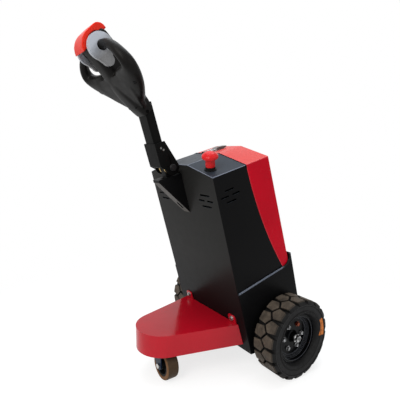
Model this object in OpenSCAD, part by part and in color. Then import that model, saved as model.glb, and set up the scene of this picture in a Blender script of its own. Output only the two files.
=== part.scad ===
// Electric tow tractor, walk-behind, with a leaning tower, two drive wheels,
// one swivel caster under a foot platform, and a folding tiller.
// Millimetres. X runs from the operator to the hitch, Y to the operator's left, Z up.

/* [Drive wheels] */
// Radius of a drive tyre over its tread blocks
tyre_r = 165; // [158:1:175]
// Width of a drive tyre
tyre_w = 115; // [108:1:120]
// Gap between a drive tyre and the collar
wheel_gap = 13.5; // [10:0.5:20]
// Depth of the grooves between tread blocks
tread_depth = 12; // [9:0.5:14]
// Drop of the tread over the tyre's shoulder
shoulder_drop = 16; // [13:1:18]
// Width of the sloping shoulder
tread_slope = 9; // [6:0.5:12]
// Number of tread blocks in one row
block_count = 18; // [16:1:20]
// Gap between neighbouring tread blocks
block_gap = 9; // [7:0.5:11]
// How far a block's point reaches over the middle of the tyre
block_point = 6; // [4:0.5:8]
// Distance of a block's corners from the middle of the tyre
block_corner = 12; // [10:0.5:16]
// How much a block narrows toward the shoulder, on each side
block_taper = 6; // [3:0.5:9]
// Radius of the rim edge that carries the tyre bead
rim_r = 102; // [94:1:106]
// How far the rim edge sits inside the tyre's side face
rim_inset = 28; // [24:1:32]
// Width of the tyre's slope down to the rim edge
bead_slope = 14; // [10:1:18]
// Thickness of the rim's barrel
rim_wall = 7; // [5:1:9]
// Height and thickness of the rim's outer lip
rim_lip = 4; // [3:0.5:5]
// Depth of the wheel disc behind the rim edge
dish_depth = 22; // [18:1:28]
// Thickness of the wheel disc
disc_t = 10; // [8:1:12]
// Radius of the drive flange behind the wheel disc
flange_r = 62; // [54:1:70]
// Radius of the driven half-shaft
shaft_r = 15; // [12:1:18]
// Radius of the wheel bolt circle
bolt_circle_r = 53; // [48:1:56]
// Radius of one wheel bolt head
wheel_bolt_r = 8; // [6:0.5:9]
// Number of wheel bolts
bolt_count = 6; // [5:1:8]
// Height of a wheel bolt head
wheel_bolt_h = 9; // [6:0.5:12]
// Radius of the bright nut in the middle of the wheel
centre_nut_r = 17; // [14:1:20]
// Radius of the hub's nose outside the wheel disc
nose_r = 22; // [20:1:24]
// Length of the hub's nose outside the wheel disc
nose_h = 20; // [16:1:24]

/* [Tower] */
// Lean of the tower toward the operator, in degrees
lean = 15.1; // [12:0.1:18]
// Distance of the tower's front face ahead of the drive axle, at the ground
face_ahead = 129.6; // [120:0.2:140]
// Width of the tower
tower_w = 466; // [440:2:480]
// Height of the tower's shoulders, measured up the front face
shoulder_w = 863; // [820:1:900]
// Rise of the roof from the shoulders to its flat middle
roof_rise = 42; // [30:1:55]
// Width of the flat middle of the roof
roof_flat = 166; // [140:2:190]
// Depth of the tower at the shoulders
depth_top = 285; // [270:1:300]
// Depth of the tower at the collar
depth_low = 300; // [290:1:310]
// Sheet thickness of tower and rear cover
sheet_t = 3; // [2.5:0.5:4]
// Height of the tower's lower edge over the ground
base_z = 96; // [85:1:110]
// Radius of the side seam between tower and rear cover
seam_r = 1610; // [1500:10:1800]
// Depth of the seam at the middle of its height
seam_u = 192; // [180:1:205]
// Height of the middle of the seam
seam_w = 621; // [600:1:640]
// Tilt of the seam at its middle, in degrees
seam_tilt = 11.2; // [10:0.1:12]
// Open gap of the seam
seam_gap = 1.6; // [1:0.1:3]
// Width of the lip inside the tower on which the rear cover sits
lip_reach = 14; // [10:1:20]
// Thickness of that lip
lip_t = 2; // [1.5:0.5:3]

/* [Vents] */
// Distance of a front vent group from the tower's side
vent_in = 76; // [70:1:90]
// Depth of the middle of a side vent group
vent_u = 64; // [58:1:72]
// Distance of the vents below the shoulders
vent_drop = 98; // [85:1:120]
// Height of one vent slot
slot_h = 7; // [5:0.5:9]
// Vent slots: shift along the face, height, length on the front, length on a side
vent_slots = [
    [0, 22, 60, 44],
    [-27, 0, 38, 38],
    [27, 0, 38, 38],
    [0, -23, 60, 50]
];

/* [Base collar] */
// Plate thickness of the collar
collar_t = 6; // [5:0.5:8]
// Height of the collar's upper edge, up the front face
collar_w = 381; // [360:1:400]
// Rise of the collar's rear lip above that edge
lip_rise = 46; // [30:1:60]
// Space between rear cover and the collar's rear plate
collar_space = 8; // [5:1:12]
// How far the rear cover reaches down inside the collar
cover_tuck = 9; // [6:1:14]

/* [Running gear] */
// Radius of an axle tube
axle_tube_r = 34; // [31:1:38]
// Gap between an axle tube's end and the drive flange
tube_end_gap = 6; // [5:0.5:8]
// Running clearance of shafts, on radius
run_gap = 0.05; // [0.02:0.01:0.09]
// Radius of the final drive housing
gear_r = 66; // [60:1:70]
// Width of the final drive housing
gear_w = 110; // [90:2:130]
// Gap between the drive motor and the axle tube
motor_gap = 5; // [4:0.5:8]
// Radius of the drive motor
motor_r = 54; // [48:1:56]
// Length of the drive motor
motor_len = 165; // [140:1:172]
// Height of the floor plate's upper face
floor_z = 240; // [236:1:250]
// Thickness of the floor plate
floor_t = 4; // [3:0.5:6]
// Length of the battery pack
battery_x = 215; // [190:1:225]
// Width of the battery pack
battery_y = 350; // [300:2:400]
// Height of the battery pack
battery_z = 210; // [180:2:230]

/* [Foot platform] */
// Height of the platform's upper face
deck_z = 215; // [205:1:222]
// Height of the platform's skirt
skirt_h = 90; // [80:1:95]
// Sheet thickness of the platform
deck_t = 4; // [3:0.5:6]
// Distance of the platform's edge from the tower's side, where they meet
deck_in = 42.5; // [36:0.5:50]
// Radius of the platform's round end
tip_r = 116; // [110:1:124]
// Reach of the round end's centre ahead of the tower's front face
tip_reach = 243; // [235:1:255]
// Distance of a fixing tab's middle from the tower's side
tab_in = 73; // [68:1:90]
// Width of a fixing tab
tab_w = 44; // [36:1:48]
// Height of a fixing tab
tab_h = 44; // [38:1:50]
// Radius of a tab bolt's head
tab_bolt_r = 9; // [7:0.5:11]

/* [Swivel caster] */
// Radius of the caster wheel
caster_r = 62; // [58:1:64]
// Width of the caster wheel
caster_w = 50; // [44:1:54]
// Radius of the caster's core under its tread
caster_core_r = 46; // [42:1:50]
// Trail of the caster wheel behind its swivel
caster_trail = 43; // [36:1:50]
// Distance of the swivel ahead of the round end's centre
swivel_ahead = 15; // [8:1:18]
// Plate thickness of the caster's fork
fork_t = 5; // [4:0.5:6]
// Radius of the caster fork's eyes
fork_eye_r = 17; // [15:0.5:19]
// Side gap between fork and caster wheel
fork_gap = 6; // [5:0.5:8]
// Gap between the caster wheel and the fork's crown
crown_gap = 8; // [6:0.5:10]
// Thickness of the fork's crown
crown_t = 10; // [8:0.5:12]
// Radius of the fork's crown and of the race above it
crown_r = 37; // [33:1:42]
// Height of the caster's ball race
race_h = 9; // [7:0.5:12]
// Radius of the caster's kingpin
king_r = 8; // [7:0.5:10]
// Radius of the caster's axle
caster_pin_r = 6; // [5:0.5:8]
// Thickness of the caster's top plate
top_plate_t = 5; // [4:0.5:6]
// Length of the caster's top plate
top_plate_x = 100; // [92:1:110]
// Width of the caster's top plate
top_plate_y = 84; // [76:1:90]
// Radius of a top plate bolt's head
plate_bolt_r = 6.5; // [5:0.5:7]
// Distance of a top plate bolt from the plate's edges
plate_bolt_in = 12; // [10:1:14]
// Thickness of the beam that carries the caster
beam_t = 8; // [6:0.5:10]
// Length of that beam
beam_x = 124; // [112:1:130]
// Gap between faces that turn on each other
face_gap = 0.3; // [0.2:0.1:0.5]

/* [Tiller mount] */
// Reach of the tiller's pivot ahead of the front face
pivot_reach = 42; // [38:1:46]
// Height of the pivot over the shoulders, up the front face
pivot_rise = 43; // [38:1:46]
// Reach of the fixed mount ahead of the front face
mount_reach = 105; // [95:1:115]
// Height of the fixed mount down the front face
mount_h = 172; // [150:1:190]
// Width of the fixed mount
mount_w = 50; // [44:1:56]
// Plate thickness of the fixed mount
mount_t = 5; // [4:0.5:6]
// Length of the slot in the mount's sloping plate
mount_slot = 40; // [30:1:46]
// Width of that slot
mount_slot_w = 14; // [10:1:18]
// Distance of the slot's middle from the mount's lower tip
mount_slot_up = 46; // [40:1:60]
// Gap between the turning bracket and the mount's upper plate
mount_gap = 6; // [5:0.5:8]
// Radius of the turning bracket's ears about the pivot
ear_r = 30; // [27:1:33]
// Radius of the pivot bolt
pivot_r = 8; // [7:0.5:10]
// Radius of the brass bushes on the pivot bolt
bush_r = 13; // [12:0.5:15]
// Radius of the bushes' flanges
bush_flange_r = 25; // [22:0.5:27]
// Thickness of the bushes' flanges
bush_flange_t = 6; // [4:0.5:8]
// Width of the lug between the bushes
lug_w = 32; // [26:1:38]

/* [Tiller arm] */
// Width of the turning bracket
bracket_w = 90; // [86:1:96]
// Plate thickness of the turning bracket
bracket_t = 4; // [3:0.5:5]
// Lean of the arm toward the operator, in degrees
arm_lean = 16.5; // [14:0.5:19]
// Width of the arm tube
arm_w = 72; // [66:1:76]
// Thickness of the arm tube
arm_t = 36.5; // [33:0.5:39]
// Distance of the arm's middle line on the operator's side of the pivot
arm_set = 27.3; // [25:0.1:30]
// Length from the pivot to the neck of the tiller head
neck_l = 234; // [215:1:260]
// Wall of the arm tube
arm_wall = 3; // [2:0.5:4]
// How far the arm reaches into the head
arm_tuck = 26; // [20:1:32]
// Length from the pivot to the bracket's upper edge
bracket_l = 108; // [100:1:116]

/* [Tiller head] */
// Tilt of the tiller head from upright, in degrees
head_tilt = 46.5; // [42:0.5:50]
// Length from the neck to the middle of the thumb levers
hub_s = 266; // [255:1:280]
// Rise of the thumb levers' middle over the head's middle plane
hub_t = 12; // [8:1:16]
// Width of the head's middle pod
pod_w = 96; // [88:1:104]
// Radius of a thumb lever's round part
lever_r = 46; // [42:1:48]
// Thickness of a thumb lever
lever_t = 12; // [9:1:15]
// Length of a thumb lever's tongue
tongue_s = 46; // [40:1:52]
// Radius of a thumb lever's tongue
tongue_r = 21; // [17:1:24]
// Drop of the tongue toward the underside
tongue_drop = 13; // [9:1:16]
// Gap round the hand loop's end in the thumb lever
lever_gap = 1.5; // [1:0.25:2.5]
// Gap of the levers, the loops and the belly button to the head's body
seat_gap = 0.3; // [0.2:0.1:0.5]
// Radius of the belly button's outer face
belly_r = 64; // [61:1:67]
// Rise of the belly button over the thumb levers' middle
belly_rise = 6; // [4:0.5:8]
// Reach of the belly button's upper face from its middle
belly_top = 59; // [57:0.5:61]
// Radius of the belly button's upper corner
belly_corner_r = 26; // [22:1:30]
// Length from the thumb levers' middle to the belly button's near edge
belly_cut = 24; // [20:1:28]
// Outer half width over the hand loops
loop_half = 198; // [188:1:208]
// Half thickness of a hand loop's bar
bar_t = 21; // [18:0.5:23]

/* [Controls on the roof] */
// Depth of the emergency button behind the front face
stop_u = 40; // [36:1:60]
// Distance of the emergency button from the tower's side
stop_in = 59; // [50:1:80]
// Radius of the emergency button's cap
stop_r = 31; // [27:1:34]
// Height of the emergency button over the roof
stop_h = 72; // [62:1:80]
// Radius of the emergency button's stem
stop_stem_r = 18; // [15:1:21]
// Length of the cover latch
latch_u = 98; // [86:1:110]
// Width of the cover latch
latch_v = 32; // [26:1:38]
// Height of the cover latch
latch_h = 13; // [10:0.5:16]

/* [Hitch] */
// Height of the hitch shelf's upper face
hitch_z = 232; // [215:1:245]
// Thickness of the hitch shelf
shelf_t = 12; // [10:1:15]
// Width of the hitch shelf
shelf_w = 96; // [84:2:110]
// Reach of the tow pin behind the collar
pin_reach = 62; // [55:1:70]
// Radius of the tow pin
tow_r = 12.5; // [11:0.5:14]
// Height of the tow pin over its shelf
tow_h = 70; // [60:1:80]

/* [Hidden] */
$fn = 72;
far = 1200;
half_w = tower_w / 2;
half_flat = roof_flat / 2;
slope = atan(roof_rise / (half_w - half_flat));
roof_w = shoulder_w + roof_rise;
face_x = -face_ahead;
// World place of a point of the leaning frame
function lean_x(u, w) = face_x + u * cos(lean) - w * sin(lean);
function lean_z(u, w) = u * sin(lean) + w * cos(lean);
// Leaning frame place of a point of the world
function lean_u(x, z) = (x - face_x) * cos(lean) + z * sin(lean);
function lean_w(x, z) = (face_x - x) * sin(lean) + z * cos(lean);
// Place along X of a leaning plane at one height
function plane_x(u, z) = face_x + u / cos(lean) - z * tan(lean);
axle_u = lean_u(0, tyre_r);
axle_w = lean_w(0, tyre_r);
seam_cu = seam_u + seam_r * cos(seam_tilt);
seam_cw = seam_w + seam_r * sin(seam_tilt);
roof_seam_u = seam_cu - sqrt(seam_r * seam_r - pow(seam_cw - roof_w, 2));
collar_back = depth_low + collar_space + collar_t;
cover_low = collar_w - cover_tuck;
pivot_u = -pivot_reach;
pivot_w = shoulder_w + pivot_rise;
pivot_x = lean_x(pivot_u, pivot_w);
pivot_z = lean_z(pivot_u, pivot_w);
mount_top = pivot_w - ear_r - mount_gap;
arm_end = neck_l + arm_tuck;
neck_x = pivot_x - neck_l * sin(arm_lean) - arm_set * cos(arm_lean);
neck_z = pivot_z + neck_l * cos(arm_lean) - arm_set * sin(arm_lean);
tip_x = plane_x(0, deck_z) - tip_reach;
swivel_x = tip_x - swivel_ahead;
wheel_in = half_w + collar_t + wheel_gap;
wheel_out = wheel_in + tyre_w;
vent_v = half_w - vent_in;
tab_v = half_w - tab_in;
stop_v = half_w - stop_in;
rim_out = wheel_out - rim_inset;
rim_in = wheel_in + rim_inset;
disc_out = rim_out - dish_depth;
flange_t = 10;
washer_t = 2;
motor_ahead = axle_tube_r + motor_r + motor_gap;
flange_in = disc_out - disc_t - flange_t;
tube_end = flange_in - tube_end_gap;
crown_low = 2 * caster_r + crown_gap;
crown_top = crown_low + crown_t;
race_low = crown_top + face_gap;
plate_low = race_low + race_h;
beam_low = plate_low + top_plate_t;
back_x = plane_x(collar_back, hitch_z);
pin_x = back_x + pin_reach;
stud_r = tow_r - 3.5;
shelf_end = pin_x + shelf_w / 3;
belly_t = hub_t + belly_rise;
belly_s = hub_s - 2;
head_low_x = neck_x - belly_s * sin(head_tilt) + belly_t * cos(head_tilt) - belly_r;
x_mid = (head_low_x + shelf_end) / 2;

// Frame of the tower: X into the tower from its front face, Z up that face
module lean_frame() {
    translate([face_x, 0, 0]) rotate([0, -lean, 0]) children();
}

// Outline in X and Z swept evenly to both sides of the middle
module across(width) {
    translate([0, width / 2, 0]) rotate([90, 0, 0]) linear_extrude(height = width) children();
}

// Outline in Y and Z swept along X
module along(from, to) {
    translate([from, 0, 0]) rotate([90, 0, 90]) linear_extrude(height = to - from) children();
}

// Round bar along Y
module bar_y(r, from, to) {
    translate([0, from, 0]) rotate([-90, 0, 0]) cylinder(r = r, h = to - from);
}

// Slot with round ends, lying along X
module slot(length, width) {
    square([length - width, width], center = true);
    for (side = [-1, 1]) translate([side * (length - width) / 2, 0]) circle(d = width);
}

// Everything under a height of the world
module ground_block(z) {
    translate([-far, -far / 2, -far]) cube([2 * far, far, far + z]);
}

// Front outline of the tower, drawn in by an inset
module roof_outline(inset) {
    v = half_w - inset;
    w = shoulder_w - inset * tan(45 - slope / 2);
    flat_v = half_flat - inset * tan(slope / 2);
    top = roof_w - inset;
    polygon([[-v, 0], [v, 0], [v, w], [flat_v, top], [-flat_v, top], [-v, w]]);
}

// Round block whose face is the seam of the rear cover
module seam_block(grow) {
    translate([seam_cu, 0, seam_cw]) bar_y(seam_r + grow, -far / 2, far / 2, $fn = 720);
}

// Vent slots of one face, with the length column to use
module vents(column) {
    for (row = vent_slots) translate([row[0], row[1]]) slot(row[column], slot_h);
}

module tower_shell() {
    color([0.10, 0.10, 0.11])
    difference() {
        lean_frame() {
            difference() {
                along(0, depth_low) roof_outline(0);
                along(sheet_t, far) roof_outline(sheet_t);
                seam_block(0);
                for (side = [-1, 1]) {
                    translate([-1, side * vent_v, shoulder_w - vent_drop]) along(0, sheet_t + 2) vents(2);
                    translate([vent_u, side * half_w, shoulder_w - vent_drop + 10])
                        across(4 * sheet_t) vents(3);
                }
                translate([axle_u, 0, axle_w]) bar_y(axle_tube_r, -half_w - 1, half_w + 1);
            }
            difference() {
                along(sheet_t, depth_low) roof_outline(sheet_t);
                along(0, far) roof_outline(sheet_t + lip_t);
                seam_block(-lip_reach);
                difference() {
                    along(0, far) roof_outline(0);
                    seam_block(lip_reach);
                }
                translate([0, -half_w, 0]) cube([far, tower_w, cover_low]);
            }
        }
        ground_block(base_z);
    }
}

// Side outline of the rear cover's back, drawn in by an inset
module cover_side(inset) {
    polygon([
        [0, cover_low - inset], [depth_low - inset, cover_low - inset],
        [depth_low - inset, collar_w], [depth_top - inset, shoulder_w],
        [depth_top - inset, roof_w + 1], [0, roof_w + 1]
    ]);
}

module rear_cover() {
    color([0.72, 0.06, 0.09])
    lean_frame() difference() {
        intersection() {
            along(0, depth_low) roof_outline(0);
            seam_block(-seam_gap);
            across(tower_w + 2) cover_side(0);
        }
        intersection() {
            along(-1, depth_low) roof_outline(sheet_t);
            across(tower_w) cover_side(sheet_t);
        }
    }
}

// Side outline of the collar, with the sweep up to its rear lip
module collar_side() {
    difference() {
        square([collar_back, collar_w + lip_rise]);
        translate([-far, collar_w]) square([far + collar_back - collar_t - lip_rise, far]);
        translate([collar_back - collar_t - lip_rise, collar_w + lip_rise]) circle(r = lip_rise);
    }
}

module base_collar() {
    color([0.09, 0.09, 0.10])
    difference() {
        lean_frame() difference() {
            across(tower_w + 2 * collar_t) collar_side();
            translate([-1, -half_w, -far]) cube([collar_back - collar_t + 1, tower_w, 2 * far]);
            translate([axle_u, 0, axle_w])
                bar_y(axle_tube_r, -half_w - 2 * collar_t, half_w + 2 * collar_t);
        }
        ground_block(base_z);
    }
}

module floor_plate() {
    color([0.13, 0.13, 0.14])
    intersection() {
        lean_frame() translate([sheet_t, sheet_t - half_w, -far])
            cube([collar_back - collar_t - sheet_t, tower_w - 2 * sheet_t, 2 * far]);
        translate([-far, -far / 2, floor_z - floor_t]) cube([2 * far, far, floor_t]);
    }
}

module battery_pack() {
    color([0.20, 0.20, 0.21])
    translate([plane_x(sheet_t, floor_z) + 12, -battery_y / 2, floor_z])
        cube([battery_x, battery_y, battery_z]);
}

module transaxle() {
    color([0.45, 0.46, 0.47])
    translate([0, 0, tyre_r]) difference() {
        union() {
            bar_y(gear_r, -gear_w / 2, 0);
            translate([-motor_ahead, 0, 0]) bar_y(motor_r, -gear_w / 2, 0);
            translate([-motor_ahead, -gear_w / 2, -motor_r]) cube([motor_ahead, gear_w / 2, 2 * motor_r]);
            bar_y(axle_tube_r, -1, gear_w / 2);
            for (side = [0, 1]) mirror([0, side, 0]) {
                bar_y(axle_tube_r, gear_w / 2 - 1, tube_end);
                bar_y(axle_tube_r + 14, half_w - sheet_t - 12, half_w - sheet_t);
            }
        }
        bar_y(shaft_r + run_gap, gear_w / 2, tube_end + 1);
        bar_y(shaft_r + run_gap, -tube_end - 1, -gear_w / 2);
    }
}

module drive_motor() {
    color([0.16, 0.16, 0.17])
    translate([-motor_ahead, 0, tyre_r]) {
        bar_y(motor_r - 4, 0, motor_len - 20);
        bar_y(motor_r, 12, motor_len - 32);
        bar_y(motor_r - 12, motor_len - 20, motor_len);
    }
}

// Tangent of the platform's side: angle of its outward normal
deck_dx = tip_reach;
deck_dy = half_w - deck_in;
deck_turn = atan2(deck_dy, deck_dx) + acos(tip_r / norm([deck_dx, deck_dy]));

// Platform outline, drawn in by an inset, run on past the tower's face
module deck_outline(inset) {
    r = tip_r - inset;
    n = [cos(deck_turn), sin(deck_turn)];
    run = norm([deck_dx, deck_dy]) * 1.25;
    a = r * 0.9996 * n;
    b = a + run * [n[1], -n[0]];
    translate([tip_x, 0]) {
        circle(r = r);
        polygon([a, b, [b[0], -b[1]], [a[0], -a[1]]]);
    }
}

// One upright fixing tab on the tower's front face
module deck_tab() {
    square([tab_w, tab_h - tab_w / 4]);
    translate([tab_w / 4, 0]) square([tab_w / 2, tab_h]);
    for (side = [1, 3]) translate([side * tab_w / 4, tab_h - tab_w / 4]) circle(r = tab_w / 4);
}

tab_low = deck_z / cos(lean) - collar_t;
module caster_platform() {
    color([0.72, 0.06, 0.09]) {
        difference() {
            translate([0, 0, deck_z - skirt_h]) linear_extrude(height = skirt_h) deck_outline(0);
            translate([0, 0, deck_z - skirt_h - 1])
                linear_extrude(height = skirt_h - deck_t + 1) deck_outline(deck_t);
            lean_frame() translate([0, -far / 2, -far]) cube([far, far, 2 * far]);
        }
        lean_frame() for (side = [-1, 1])
            translate([0, side * tab_v - tab_w / 2, tab_low]) along(-deck_t, 0) deck_tab();
    }
}

module platform_bolts() {
    color([0.75, 0.76, 0.77])
    lean_frame() for (side = [-1, 1])
        translate([-deck_t, side * tab_v, tab_low + tab_h * 0.62]) rotate([0, -90, 0]) {
            cylinder(r = tab_bolt_r * 1.25, h = 1.6);
            cylinder(r = tab_bolt_r, h = 7, $fn = 6);
        }
}

module caster_beam() {
    color([0.12, 0.12, 0.13])
    difference() {
        translate([tip_x, 0, beam_low]) cylinder(r = tip_r - deck_t, h = beam_t);
        translate([swivel_x - beam_x / 2 - far, -far / 2, 0]) cube([far, far, far]);
        translate([swivel_x + beam_x / 2, -far / 2, 0]) cube([far, far, far]);
    }
}

module caster_top_plate() {
    color([0.10, 0.13, 0.22])
    translate([swivel_x, 0, 0]) difference() {
        union() {
            translate([-top_plate_x / 2, -top_plate_y / 2, plate_low])
                cube([top_plate_x, top_plate_y, top_plate_t]);
            translate([0, 0, race_low]) cylinder(r = crown_r, h = race_h);
            for (x = [-1, 1]) for (y = [-1, 1])
                translate([
                    x * (top_plate_x / 2 - plate_bolt_in),
                    y * (top_plate_y / 2 - plate_bolt_in),
                    plate_low - top_plate_t
                ])
                    cylinder(r = plate_bolt_r, h = top_plate_t, $fn = 6);
        }
        translate([0, 0, race_low - 1]) cylinder(r = king_r + run_gap, h = race_h + 1);
    }
}

module caster_fork() {
    leg_x = caster_w / 2 + fork_gap;
    color([0.10, 0.14, 0.24])
    translate([swivel_x, 0, 0]) difference() {
        union() {
            translate([0, 0, crown_low]) cylinder(r = crown_r, h = crown_t);
            translate([0, 0, crown_top]) cylinder(r = king_r, h = race_h - 2);
            for (side = [-1, 1]) translate([side * (leg_x + fork_t / 2), 0, 0])
                along(-fork_t / 2, fork_t / 2) {
                    translate([-caster_trail, caster_r]) circle(r = fork_eye_r);
                    polygon([
                        [-caster_trail - fork_eye_r + 1, caster_r - 5], [-caster_trail - 20, crown_low + 4],
                        [-caster_trail + 8, crown_low + crown_t], [crown_r - 12, crown_low + crown_t],
                        [crown_r - 12, crown_low], [-caster_trail + fork_eye_r - 1, caster_r - 5]
                    ]);
                }
            translate([-leg_x - fork_t, -caster_trail / 2 - 10, crown_low])
                cube([2 * (leg_x + fork_t), 40, crown_t]);
        }
        translate([-far / 2, -caster_trail, caster_r]) rotate([0, 90, 0])
            cylinder(r = caster_pin_r, h = far);
    }
}

module caster_axle() {
    reach = caster_w / 2 + fork_gap + fork_t;
    color([0.72, 0.72, 0.70])
    translate([swivel_x, -caster_trail, caster_r]) rotate([0, 90, 0]) {
        translate([0, 0, -reach]) cylinder(r = caster_pin_r, h = 2 * reach);
        for (side = [0, 1]) mirror([0, 0, side])
            translate([0, 0, reach]) cylinder(r = caster_pin_r + 4.5, h = 6, $fn = 6);
    }
}

module caster_core() {
    color([0.09, 0.09, 0.09])
    translate([swivel_x, -caster_trail, caster_r]) rotate([0, 90, 0]) rotate_extrude() {
        translate([caster_core_r - 8, 2 - caster_w / 2]) square([8, caster_w - 4]);
        translate([16, -6]) square([caster_core_r - 20, 12]);
        translate([caster_pin_r + run_gap, -caster_w / 2 - 3]) square([12, caster_w + 6]);
    }
}

module caster_tread() {
    edge = 6;
    color([0.30, 0.18, 0.10])
    translate([swivel_x, -caster_trail, caster_r]) rotate([0, 90, 0]) rotate_extrude() {
        translate([caster_core_r, -caster_w / 2])
            square([caster_r - caster_core_r - edge, caster_w]);
        translate([caster_core_r, edge - caster_w / 2])
            square([caster_r - caster_core_r, caster_w - 2 * edge]);
        for (side = [-1, 1]) translate([caster_r - edge, side * (caster_w / 2 - edge)]) circle(r = edge);
    }
}

module tiller_mount() {
    low = mount_top - mount_h;
    mount_slant = atan2(mount_reach, mount_h - 2 * mount_t);
    color([0.10, 0.10, 0.11])
    lean_frame() difference() {
        union() {
            difference() {
                across(mount_w) polygon([[0, low], [0, mount_top], [-mount_reach, mount_top],
                    [-mount_reach, mount_top - 2 * mount_t]]);
                across(mount_w - 2 * mount_t) polygon([[1, low + 3 * mount_t], [1, mount_top - mount_t],
                    [-mount_reach + mount_t, mount_top - mount_t],
                    [-mount_reach + mount_t, mount_top - 2.4 * mount_t]]);
            }
            across(lug_w) {
                translate([pivot_u, pivot_w]) circle(r = ear_r - 8);
                translate([pivot_u - ear_r + 8, mount_top]) square([2 * ear_r - 16, pivot_w - mount_top]);
            }
        }
        translate([pivot_u, 0, pivot_w]) bar_y(pivot_r, -far / 4, far / 4);
        translate([0, 0, low]) rotate([0, -mount_slant, 0]) translate([0, 0, mount_slot_up])
            rotate([90, 0, 90]) linear_extrude(height = 6 * mount_t, center = true)
            rotate([0, 0, 90]) slot(mount_slot, mount_slot_w);
    }
}

module pivot_bushes() {
    color([0.72, 0.55, 0.22])
    translate([pivot_x, 0, pivot_z]) difference() {
        for (side = [0, 1]) mirror([0, side, 0]) {
            bar_y(bush_r, lug_w / 2, bracket_w / 2 - bracket_t - face_gap);
            bar_y(bush_flange_r, lug_w / 2, lug_w / 2 + bush_flange_t);
        }
        bar_y(pivot_r, -far / 4, far / 4);
    }
}

module pivot_bolt() {
    reach = bracket_w / 2 + face_gap;
    color([0.22, 0.22, 0.23])
    translate([pivot_x, 0, pivot_z]) {
        bar_y(pivot_r, -reach, reach);
        for (side = [0, 1]) mirror([0, side, 0]) {
            bar_y(pivot_r + 6, reach, reach + 2);
            translate([0, reach + 2, 0]) rotate([-90, 0, 0]) cylinder(r = pivot_r + 5, h = 7, $fn = 6);
        }
    }
}

// Frame of the arm: origin at the pivot, Z up the arm, X to its hitch side
module arm_frame() {
    translate([pivot_x, 0, pivot_z]) rotate([0, -arm_lean, 0]) children();
}

module tiller_bracket() {
    face = -arm_set - arm_t / 2;
    web_low = ear_r / 2;
    color([0.09, 0.09, 0.10])
    arm_frame() difference() {
        union() {
            difference() {
                across(bracket_w) {
                    circle(r = ear_r);
                    polygon([
                        [face - bracket_t, bracket_l], [-arm_set + arm_t / 2 + bracket_t, bracket_l],
                        [ear_r * 0.97, ear_r * 0.24], [0, -ear_r * 0.5], [-ear_r * 0.5, -ear_r * 0.5],
                        [face - bracket_t, web_low]
                    ]);
                }
                translate([0, 0, -far / 2]) across(bracket_w - 2 * bracket_t)
                    translate([face, 0]) square([far, far]);
            }
            translate([face, -bracket_w / 2, bracket_l - 8 * bracket_t])
                difference() {
                    cube([arm_t, bracket_w, 6 * bracket_t]);
                    translate([-1, bracket_w / 2 - arm_w / 2, -1]) cube([far, arm_w, far]);
                }
        }
        bar_y(pivot_r + run_gap, -far / 4, far / 4);
    }
}

module bracket_screws() {
    color([0.75, 0.76, 0.77])
    arm_frame() for (side = [0, 1]) mirror([0, side, 0])
        for (step = [0, 1])
            translate([-arm_set + 9 * step - 2, bracket_w / 2, bracket_l - 22 - 9 * step])
                bar_y(4, 0, 2.5);
}

module tiller_arm() {
    foot = ear_r + 8;
    edge = 7;
    color([0.09, 0.09, 0.10])
    arm_frame() translate([-arm_set, 0, foot]) difference() {
        linear_extrude(height = arm_end - foot) {
            square([arm_t - 2 * edge, arm_w], center = true);
            square([arm_t, arm_w - 2 * edge], center = true);
            for (x = [-1, 1]) for (y = [-1, 1])
                translate([x * (arm_t / 2 - edge), y * (arm_w / 2 - edge)]) circle(r = edge);
        }
        translate([0, 0, -1]) linear_extrude(height = neck_l - foot)
            square([arm_t - 2 * arm_wall, arm_w - 2 * arm_wall], center = true);
    }
}

// Frame of the head: origin at the neck, Z along the head, X out of its upper face
module head_frame() {
    translate([neck_x, 0, neck_z]) rotate([0, -head_tilt, 0]) children();
}

// Row of a table at a place between its rows, on a smooth curve through all of them
function row_at(rows, i) = rows[max(0, min(len(rows) - 1, i))];
function smooth_row(rows, place) =
    let (i = min(len(rows) - 2, floor(place)), f = place - i, a = row_at(rows, i - 1),
        b = rows[i], c = rows[i + 1], d = row_at(rows, i + 2))
    b + 0.5 * f * (c - a + f * (2 * a - 5 * b + 4 * c - d + f * (3 * b - a - 3 * c + d)));
function smooth_rows(rows, steps) =
    [for (k = [0 : steps * (len(rows) - 1)]) smooth_row(rows, k / steps)];
// Sine or cosine drawn toward a square section, the more the smaller the power
function squared(value, power) = sign(value) * pow(abs(value), power);
function middle(ring) = [for (axis = [0 : 2]) [for (p = ring) p[axis]] * [for (p = ring) 1]] / len(ring);

// Closed skin over rings of equally many points
module skin(rings) {
    n = len(rings[0]);
    last = (len(rings) - 1) * n;
    points = [for (ring = rings) each ring];
    sides = [for (low = [0 : n : last - n]) for (j = [0 : n - 1])
        let (a = low + j, b = low + (j + 1) % n) each [[a, b, b + n], [a, b + n, a + n]]];
    ends = [for (j = [0 : n - 1]) let (k = (j + 1) % n)
        each [[last + n, k, j], [last + n + 1, last + j, last + k]]];
    polyhedron(concat(points, [middle(rings[0]), middle(rings[len(rings) - 1])]), concat(sides, ends));
}

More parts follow.
